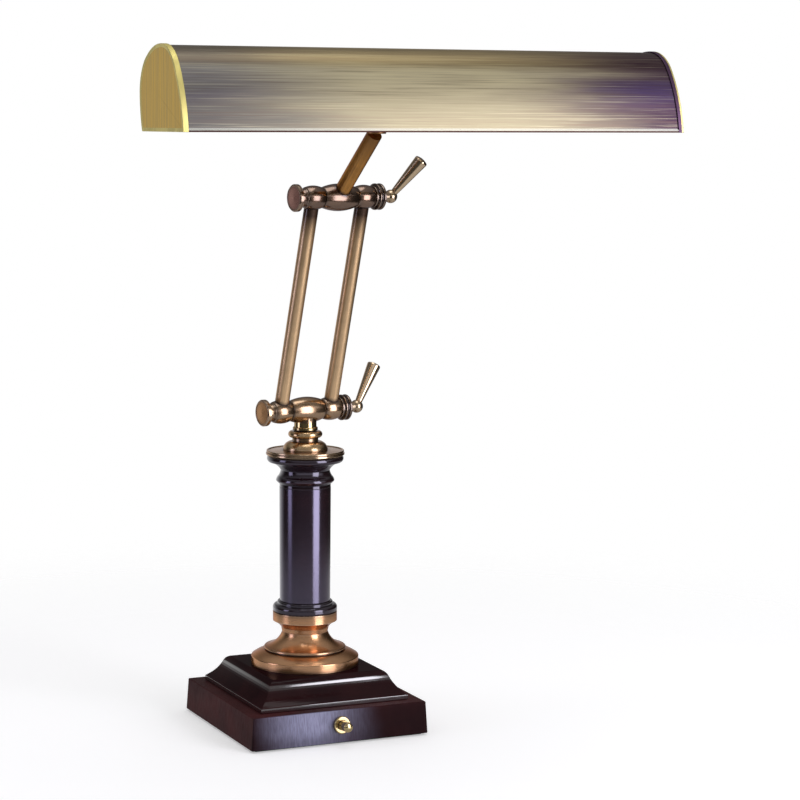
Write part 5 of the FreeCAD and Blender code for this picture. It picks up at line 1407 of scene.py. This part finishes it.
class LAMP_OT_shade(bpy.types.Operator):
    """Finishes the shade's sheet and end caps"""

    bl_idname = "lamp.shade"
    bl_label = "Shade"

    def execute(self, context):
        white = finish().white
        inside = moulded_material(
            "white_enamel",
            700.0,
            white,
            [part * 0.9 for part in white],
            haze=(0.35, 0.75),
            rough=(0.32, 0.42),
            relief=0.15,
            from_height=False,
        )
        self.sheet(inside)
        self.end_caps(inside)
        return {"FINISHED"}

    def sheet(self, inside):
        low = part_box("shade_shell")[0]
        core = middle_of("shade_shell")
        core = Vector((core.x, core.y - CORE_FORWARD, low.z + CORE_HEIGHT))
        mesh = joined_mesh("shade_shell_brushed", "shade_shell", Matrix.Identity(4), sharp=30.0)
        piece = show("shade_shell_brushed", mesh, "shade_shell", shade_material())
        mesh.materials.append(inside)
        for polygon in mesh.polygons:
            toward = core - polygon.center
            toward.x = 0
            if polygon.normal.dot(toward.normalized()) > 0.25:
                polygon.material_index = 1
        round_edges(piece, 0.00018, 50)

    def end_caps(self, inside):
        panel = end_material("end_panel", 0.30, True)
        rim = end_material("end_rim", 0.42, False)
        for node, side in (("end_cap_left", -1), ("end_cap_right", 1)):
            mesh = joined_mesh(node + "_pressed", node, Matrix.Identity(4), sharp=40.0)
            piece = show(node + "_pressed", mesh, node, rim)
            mesh.materials.append(panel)
            mesh.materials.append(inside)
            sink_panel(mesh, side)
            for polygon in mesh.polygons:
                if polygon.normal.x * side < -0.9 and polygon.area > 1e-3:
                    polygon.material_index = 2
            round_edges(piece, 0.0006, 40)


def sink_panel(mesh, side):
    """Sets the flat outer panel of an end cap back inside a raised lip."""
    bm = bmesh.new()
    bm.from_mesh(mesh)
    panel = [face for face in bm.faces if face.normal.x * side > 0.9 and face.calc_area() > 1e-4]
    if not panel:
        raise RuntimeError(f"{mesh.name} has no flat panel")
    bmesh.ops.inset_region(
        bm, faces=panel, thickness=shape().lip_width, depth=-shape().lip_depth, use_even_offset=True
    )
    for face in panel:
        face.material_index = 1
    bm.to_mesh(mesh)
    bm.free()


def round_edges(piece, width, angle):
    """Bevels the edges of a piece that are sharper than an angle in degrees, and bakes the result."""
    modifier = piece.modifiers.new("edges", "BEVEL")
    modifier.width = width
    modifier.segments = 3
    modifier.limit_method = "ANGLE"
    modifier.angle_limit = math.radians(angle)
    modifier.harden_normals = False
    weighted = piece.modifiers.new("normals", "WEIGHTED_NORMAL")
    weighted.keep_sharp = False
    mesh = plain_mesh(piece)
    mesh.name = piece.data.name + "_rounded"
    piece.modifiers.clear()
    piece.data = mesh


def shade_material():
    """Brushed antique brass with a painted highlight in the middle and painted shade towards the ends, the ridge
    and the lower edge.
    """
    colours = finish()
    low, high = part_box("shade_shell")
    middle = (low.x + high.x) / 2
    half = (high.x - low.x) / 2
    material, tree, shader = new_material("brushed_shade", metallic=1.0)
    place = own_place(tree)
    lying = put(tree, "ShaderNodeMapping", {"Vector": place, "Rotation": (0, math.radians(90), 0)}).outputs[0]
    marks = brushing_of(tree, lying, 1500.0, 13.0)
    split = axes_of(tree, place)
    above = arithmetic(tree, "SUBTRACT", split["Z"], low.z)
    height = arithmetic(tree, "DIVIDE", above, high.z - low.z)
    # From -1 at the left end to 1 at the right, with borders that wander.
    across = arithmetic(tree, "DIVIDE", arithmetic(tree, "SUBTRACT", split["X"], middle), half)
    wander = noise(tree, stretched(tree, place, (7, 60, 60)), 1.0, 3.0)
    across = arithmetic(tree, "MULTIPLY_ADD", arithmetic(tree, "SUBTRACT", wander, 0.5), 0.7, across)
    # Painted highlight in the middle and painted shade towards the two ends.
    left = span(tree, across, -0.15, -0.95)
    right = span(tree, across, 0.18, 1.0)
    base = blend_colours(tree, right, colours.shade_painted_highlight, colours.shade_right_painted_shade)
    base = blend_colours(tree, left, base, colours.shade_left_painted_shade)
    # Painted shade: darker towards the lower edge.
    base = blend_colours(tree, span(tree, height, 0.66, 0.12, 0.0, 0.60), base, (0, 0, 0))
    # Painted violet reflection in a band above the lower edge, mostly at the right end.
    far = arithmetic(tree, "MULTIPLY", arithmetic(tree, "POWER", right, 3.0), 0.75)
    ends = arithmetic(tree, "MULTIPLY_ADD", left, 0.25, far)
    painted_violet_band = arithmetic(tree, "MULTIPLY", span(tree, height, 0.22, 0.48), span(tree, height, 0.78, 0.55))
    painted_violet_band = arithmetic(tree, "MULTIPLY", painted_violet_band, span(tree, wander, 0.35, 0.60))
    base = blend_colours(tree, arithmetic(tree, "MULTIPLY", ends, painted_violet_band), base, colours.shade_painted_violet_reflection)
    # Painted shade on the ridge.
    base = blend_colours(tree, span(tree, height, 0.70, 0.84), base, colours.shade_ridge_painted_shade, "MULTIPLY")
    # Dark and pale streaks along the sheet.
    fine = arithmetic(tree, "MULTIPLY", marks["Lines"], 0.9)
    streak = arithmetic(tree, "MULTIPLY_ADD", marks["Broad"], 0.1, fine)
    base = blend_colours(tree, span(tree, streak, 0.52, 0.32, 0.0, 0.42), base, STREAK_DARK)
    base = blend_colours(tree, span(tree, streak, 0.52, 0.70, 0.0, 0.30), base, STREAK_PALE)
    # Painted highlight along the hem at the lower edge, with a painted shade line under it.
    base = blend_colours(tree, span(tree, above, 0.0030, 0.0022, 0.0, 0.55), base, HEM_PAINTED_HIGHLIGHT)
    base = blend_colours(tree, span(tree, above, 0.0012, 0.0009), base, HEM_PAINTED_SHADE)
    dress(tree, shader, base, span(tree, streak, 0.25, 0.75, 0.36, 0.44), marks["Lines"], 0.25, 0.00005)
    return material


def end_material(name, gloss, brushed):
    """Golden brass of the end caps: brushed upright on the flat panel, bright on the rim, with a painted shade
    line inside the right cap's lip.
    """
    colours = finish()
    material, tree, shader = new_material(name, metallic=1.0)
    place = own_place(tree)
    marks = brushing_of(tree, place, 700.0, 9.0)
    if brushed:
        dark = [part * 0.62 for part in colours.shade_end]
        base = blend_colours(tree, span(tree, marks["Lines"], 0.68, 0.34), colours.shade_end, dark)
    else:
        bright = [part * 1.25 for part in colours.shade_rim]
        base = blend_colours(tree, span(tree, marks["Broad"], 0.3, 0.7), colours.shade_rim, bright)
        # Painted shade: a dark line just inside the right cap's lip.
        across = axes_of(tree, place)["X"]
        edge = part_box("end_cap_right")[1].x
        inside_lip = span(tree, across, edge - 0.0010, edge - 0.0016)
        right_cap = span(tree, across, 0, 0.01)
        inner = arithmetic(tree, "MULTIPLY", inside_lip, right_cap)
        base = blend_colours(tree, inner, base, colours.shade_right_painted_shade)
    rough = span(tree, marks["Lines"], 0.3, 0.7, gloss, gloss + 0.12)
    dress(tree, shader, base, rough, marks["Lines"], 0.15, 0.00004)
    return material


class LAMP_OT_carrier(bpy.types.Operator):
    """Finishes the shade's swivel block, spacer, washers, nipple and cluster, and the column's rod"""

    bl_idname = "lamp.carrier"
    bl_label = "Shade carrier"

    def execute(self, context):
        for node in ("nipple_spacer", "outer_washer"):
            mesh = turned_mesh(node + "_turned", node, nipple_frame(), turned_brass(), around=80)
            dirty_joints(mesh, node)
            show(node + "_turned", mesh, node)
        mesh = joined_mesh("shade_swivel_block_turned", "shade_swivel_block", swivel_frame())
        dirty_joints(mesh, "shade_swivel_block")
        show("shade_swivel_block_turned", mesh, "shade_swivel_block", turned_brass())
        mesh = joined_mesh("cluster_body_turned", "cluster_body", lamp_frame())
        show("cluster_body_turned", mesh, "cluster_body", polished_brass())
        for node in (
            "shade_nipple",
            "inner_washer",
            "shade_lock_nut",
            "column_rod",
            "column_nut",
            "column_washer",
        ):
            coat(node, zinc_plate())
        return {"FINISHED"}


def fastener_tree(kind):
    """Turns a screw about Z, cuts its recess at the origin and sets a copy on each point of a grid."""
    tree, entry, exit_node = new_tree(
        kind + "_fastener",
        "GeometryNodeTree",
        [
            ("Outline", "Geometry", None),
            ("Steps Around", "Int", 48),
            ("Circle", "Float", SWEEP_CIRCLE),
            ("Recess Width", "Float", 0.001),
            ("Recess Length", "Float", 0.003),
            ("Recess Depth", "Float", 0.001),
            ("Spacing X", "Float", 0.0),
            ("Spacing Y", "Float", 0.0),
            ("Columns", "Int", 1),
            ("Rows", "Int", 1),
            ("Material", "Material", None),
        ],
        [("Geometry", "Geometry")],
    )
    screw = swept(tree, entry)
    deep = arithmetic(tree, "MULTIPLY", entry["Recess Depth"], 2.0)
    cut = put(tree, "GeometryNodeMeshBoolean", {"Mesh 1": screw}, operation="DIFFERENCE")
    if kind == "cross":
        for first, second in (("Recess Width", "Recess Length"), ("Recess Length", "Recess Width")):
            sides = {"X": entry[first], "Y": entry[second], "Z": deep}
            size = put(tree, "ShaderNodeCombineXYZ", sides).outputs[0]
            bar = put(tree, "GeometryNodeMeshCube", {"Size": size}).outputs["Mesh"]
            tree.links.new(bar, cut.inputs["Mesh 2"])
    else:
        half = arithmetic(tree, "MULTIPLY", entry["Recess Width"], 0.5)
        sides = {"Vertices": 6, "Radius": half, "Depth": deep}
        key = put(tree, "GeometryNodeMeshCylinder", sides).outputs["Mesh"]
        tree.links.new(key, cut.inputs["Mesh 2"])
    spread = {
        "Size X": entry["Spacing X"],
        "Size Y": entry["Spacing Y"],
        "Vertices X": entry["Columns"],
        "Vertices Y": entry["Rows"],
    }
    grid = put(tree, "GeometryNodeMeshGrid", spread).outputs["Mesh"]
    pair = {"Points": grid, "Instance": cut.outputs["Mesh"]}
    copies = put(tree, "GeometryNodeInstanceOnPoints", pair).outputs["Instances"]
    end_tree(tree, copies, entry, exit_node)
    return tree


class LAMP_OT_screws(bpy.types.Operator):
    """Makes the bottom screws with cross slots and the set screws with hexagon sockets"""

    bl_idname = "lamp.screws"
    bl_label = "Screws"

    def execute(self, context):
        self.plate_screws()
        tree = fastener_tree("hexagon")
        key = shape().hex_key
        for node in ("column_set_screw", "shade_set_screw"):
            low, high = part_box(node)
            centre = middle_of(node)
            place = local_frame((centre.x, high.y, centre.z), Y_AXIS, X_AXIS)
            recess = {"Recess Width": key, "Recess Depth": key * 0.6}
            self.fasten(node, tree, place, place, (high.x - low.x) / 2, recess)
        return {"FINISHED"}

    def plate_screws(self):
        """Four countersunk screws at the corners of their node's box."""
        node = "plate_screws"
        low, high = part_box(node)
        corner = [vert.co for vert in NODES[node].data.vertices if vert.co.x < 0 and vert.co.y < 0]
        radius = (max(co.x for co in corner) - min(co.x for co in corner)) / 2
        spacing = high - low - Vector((2 * radius, 2 * radius, 0))
        if min(spacing.xy) <= 0:
            raise RuntimeError(f"{node} aren't set out in a square")
        centre = middle_of(node)
        own = local_frame((low.x + radius, low.y + radius, low.z), -Z_AXIS, X_AXIS)
        place = local_frame((centre.x, centre.y, low.z), -Z_AXIS, X_AXIS)
        recess = {
            "Recess Width": shape().screw_slot,
            "Recess Length": radius * 1.3,
            "Recess Depth": radius * 0.35,
            "Spacing X": spacing.x,
            "Spacing Y": spacing.y,
            "Columns": 2,
            "Rows": 2,
        }
        self.fasten(node, fastener_tree("cross"), own, place, radius, recess)

    def fasten(self, node, tree, own, place, radius, recess):
        """Screws of a node turned in one screw's frame and set out in the place's."""
        verts, edges = [], []
        for run in half_section(node, own):
            points, closed = tidy_run(run)
            if max(point.x for point in points) > radius * 1.5:
                continue
            rounded = round_corners(points, closed, SCREW_EDGE)[0]
            first = len(verts)
            verts += [(point.x - SWEEP_CIRCLE, -point.y, 0) for point in rounded]
            edges += [(index, index + 1) for index in range(first, len(verts) - 1)]
        if not verts:
            raise RuntimeError(f"{node} has no outline near its own axis")
        seed = bpy.data.meshes.new(node + "_outline")
        seed.from_pydata(verts, edges, [])
        inputs = {"Steps Around": 40, "Circle": SWEEP_CIRCLE, "Material": zinc_plate(), **recess}
        mesh = baked(node + "_cut", seed, tree, inputs)
        mesh.transform(place)
        show(node + "_cut", face_outward(mesh), node)


class LAMP_OT_lamps(bpy.types.Operator):
    """Finishes the porcelain holders and the frosted tubular lamps"""

    bl_idname = "lamp.lamps"
    bl_label = "Lamp holders and lamps"

    def execute(self, context):
        white = finish().porcelain
        porcelain = moulded_material(
            "porcelain",
            500.0,
            white,
            [part * 0.88 for part in white],
            haze=(0.35, 0.75),
            rough=(0.22, 0.32),
            relief=0.1,
            coat_weight=1.0,
            coat_roughness=0.06,
        )
        glass = frosted_glass()
        shell = brass_material("lamp_shell", finish().bright, 0.22, cloudiness=0.1, line_depth=0.15)
        kinds = (("lamp_holder", porcelain, False), ("lamp_glass", glass, False), ("lamp_cap", shell, True))
        for side in ("left", "right"):
            for kind, material, threaded in kinds:
                node = f"{kind}_{side}"
                name = node + "_turned"
                mesh = turned_mesh(name, node, lamp_frame(), material, 72, 0.0002, threaded)
                show(name, mesh, node)
        return {"FINISHED"}


def frosted_glass():
    material, tree, shader = new_material("frosted_glass", transmission_weight=1.0, ior=1.48)
    frost = noise(tree, own_place(tree), 4000.0, 2.0, 0.6)
    colour = blend_colours(tree, span(tree, frost, 0.3, 0.7), (0.93, 0.93, 0.91), (0.98, 0.98, 0.97))
    dress(tree, shader, colour, span(tree, frost, 0.3, 0.7, 0.42, 0.55), frost, 0.2, 0.00005)
    return material


class LAMP_OT_stage(bpy.types.Operator):
    """Makes the pale floor, the soft lights, the world and the camera"""

    bl_idname = "lamp.stage"
    bl_label = "Stage"

    def execute(self, context):
        self.floor()
        self.world()
        for name, place, size, power, tint in (
            ("key_light", (0.76, -1.375, 0.48), (0.80, 1.55), studio().key_power, (0.93, 0.91, 1.0)),
            ("side_light", (-1.55, 0.12, 0.42), (0.50, 1.10), studio().side_power, (0.80, 0.76, 1.0)),
            ("top_light", (0.10, -0.10, 1.90), (1.10, 0.80), studio().top_power, (1.0, 1.0, 1.0)),
        ):
            # A box beside the lamp stands upright, and the one overhead leans to it.
            overhead = place[2] > 1
            aim = Vector((*LIGHT_AIM[:2], LIGHT_AIM[2] if overhead else place[2]))
            self.soft_box(name, Vector(place), aim, size, power, tint)
        self.camera()
        return {"FINISHED"}

    def floor(self):
        radius = studio().floor_radius
        bm = bmesh.new()
        bmesh.ops.create_circle(bm, cap_ends=True, segments=96, radius=radius)
        mesh = bpy.data.meshes.new("floor")
        bm.to_mesh(mesh)
        bm.free()
        floor = bpy.data.objects.new("floor", mesh)
        floor.location.z = -FLOOR_GAP
        bpy.context.scene.collection.objects.link(floor)
        mesh.materials.append(self.pale_floor(radius))

    def pale_floor(self, radius):
        """Pale and matt. It glows a little where it is seen, and fades out towards its rim."""
        material, tree, shader = new_material(
            "pale_floor", base_color=(*studio().floor, 1), roughness=0.7, specular_ior_level=0.1
        )
        path = put(tree, "ShaderNodeLightPath").outputs
        seen = arithmetic(tree, "MAXIMUM", path["Is Camera Ray"], path["Is Glossy Ray"])
        seen = arithmetic(tree, "MAXIMUM", seen, path["Is Transmission Ray"])
        strength = arithmetic(tree, "MULTIPLY", seen, studio().floor_glow)
        glow = put(tree, "ShaderNodeEmission", {"Color": (1, 1, 1, 1), "Strength": strength}).outputs[0]
        lit = put(tree, "ShaderNodeAddShader", {0: shader.outputs[0], 1: glow}).outputs[0]
        away = put(tree, "ShaderNodeVectorMath", {0: own_place(tree)}, operation="LENGTH").outputs["Value"]
        fade = span(tree, away, radius * 0.35, radius * 0.98)
        glossy_fade = arithmetic(tree, "MULTIPLY", path["Is Glossy Ray"], 0.6)
        fade = arithmetic(tree, "MAXIMUM", fade, glossy_fade)
        clear = put(tree, "ShaderNodeBsdfTransparent").outputs[0]
        mixed = put(tree, "ShaderNodeMixShader", {"Fac": fade, 1: lit, 2: clear})
        tree.links.new(mixed.outputs[0], tree.nodes["Material Output"].inputs["Surface"])
        return material

    def world(self):
        """White to the camera. Metal sees the white backdrop behind and a dimmer studio in front."""
        world = bpy.data.worlds.new("studio")
        world.use_nodes = True
        bpy.context.scene.world = world
        tree = world.node_tree
        tree.nodes.clear()
        path = put(tree, "ShaderNodeLightPath").outputs
        direct = arithmetic(tree, "MAXIMUM", path["Is Camera Ray"], path["Is Transmission Ray"])
        split = axes_of(tree, put(tree, "ShaderNodeTexCoord").outputs["Generated"])
        behind = span(tree, split["Y"], 0.60, 1.04)
        low = span(tree, split["Z"], 0.60, 0.05)
        above = span(tree, split["Z"], 0.25, 0.85, 0.0, 0.30)
        before = span(tree, split["Y"], -0.10, -0.75, 0.02, 0.055)
        bright = arithmetic(tree, "MULTIPLY_ADD", arithmetic(tree, "MULTIPLY", behind, low), 0.7, above)
        bright = arithmetic(tree, "ADD", bright, before)
        rising, falling = span(tree, split["Z"], 0.14, 0.24), span(tree, split["Z"], 0.50, 0.38)
        band = arithmetic(tree, "MULTIPLY", rising, falling)
        band = arithmetic(tree, "MULTIPLY", band, span(tree, split["Y"], -0.25, -0.55, 0.0, 0.65))
        room = blend_colours(tree, bright, (0.0, 0.0, 0.0), (1.0, 1.0, 1.0))
        room = blend_colours(tree, band, room, (0.97, 0.95, 1.0))
        shown, reflected, even = (
            put(tree, "ShaderNodeBackground", {"Color": light, "Strength": strength}).outputs[0]
            for light, strength in (((1, 1, 1, 1), 1.0), (room, 1.0), ((1, 1, 1, 1), studio().fill))
        )
        first = put(tree, "ShaderNodeMixShader", {"Fac": path["Is Glossy Ray"], 1: even, 2: reflected})
        last = put(tree, "ShaderNodeMixShader", {"Fac": direct, 1: first.outputs[0], 2: shown})
        put(tree, "ShaderNodeOutputWorld", {"Surface": last.outputs[0]})

    def soft_box(self, name, place, aim, size, power, tint):
        light = bpy.data.lights.new(name, "AREA")
        light.shape = "RECTANGLE"
        light.size, light.size_y = size
        light.energy = power
        light.color = tint
        holder = bpy.data.objects.new(name, light)
        holder.location = place
        holder.rotation_euler = (aim - place).to_track_quat("-Z", "Y").to_euler()
        bpy.context.scene.collection.objects.link(holder)

    def camera(self):
        """Camera at the height and angle of a table-top view."""
        data = bpy.data.cameras.new("camera")
        data.sensor_width = 36
        data.lens = studio().lens
        data.shift_x = CAMERA_SHIFT
        data.clip_start = 0.05
        camera = bpy.data.objects.new("camera", data)
        back = CAMERA_RIGHT.cross(CAMERA_UP).normalized()
        up = back.cross(CAMERA_RIGHT).normalized()
        turn = Matrix((up.cross(back), up, back)).transposed().to_4x4()
        camera.matrix_world = Matrix.Translation(CAMERA_PLACE) @ turn
        bpy.context.scene.collection.objects.link(camera)
        bpy.context.scene.camera = camera


class LAMP_PT_panel(bpy.types.Panel):
    """Lists the pieces in the sidebar"""

    bl_idname = "LAMP_PT_panel"
    bl_label = "Piano Lamp"
    bl_space_type = "VIEW_3D"
    bl_region_type = "UI"
    bl_category = "Piano Lamp"

    def draw(self, context):
        for group in (shape(), finish(), studio()):
            column = self.layout.column(align=True)
            for name in group.bl_rna.properties.keys():
                if name not in ("rna_type", "name"):
                    column.prop(group, name)
        for operator in OPERATORS:
            self.layout.operator(operator.bl_idname)


OPERATORS = (
    LAMP_OT_stage,
    LAMP_OT_column,
    LAMP_OT_base,
    LAMP_OT_dimmer,
    LAMP_OT_arms,
    LAMP_OT_shade,
    LAMP_OT_carrier,
    LAMP_OT_screws,
    LAMP_OT_lamps,
)
GROUPS = {
    "lamp_shape": LampShapeSettings,
    "lamp_finish": LampFinishSettings,
    "lamp_studio": LampStudioSettings,
}


def register():
    for name, group in GROUPS.items():
        bpy.utils.register_class(group)
        setattr(bpy.types.Scene, name, bpy.props.PointerProperty(type=group))
    for operator in OPERATORS:
        bpy.utils.register_class(operator)
    bpy.utils.register_class(LAMP_PT_panel)


def unregister():
    bpy.utils.unregister_class(LAMP_PT_panel)
    for operator in reversed(OPERATORS):
        bpy.utils.unregister_class(operator)
    for name, group in reversed(GROUPS.items()):
        delattr(bpy.types.Scene, name)
        bpy.utils.unregister_class(group)


def main():
    register()
    bpy.context.scene.view_settings.view_transform = "Standard"
    for operator in OPERATORS:
        family, call = operator.bl_idname.split(".")
        getattr(getattr(bpy.ops, family), call)()


if __name__ == "__main__":
    main()
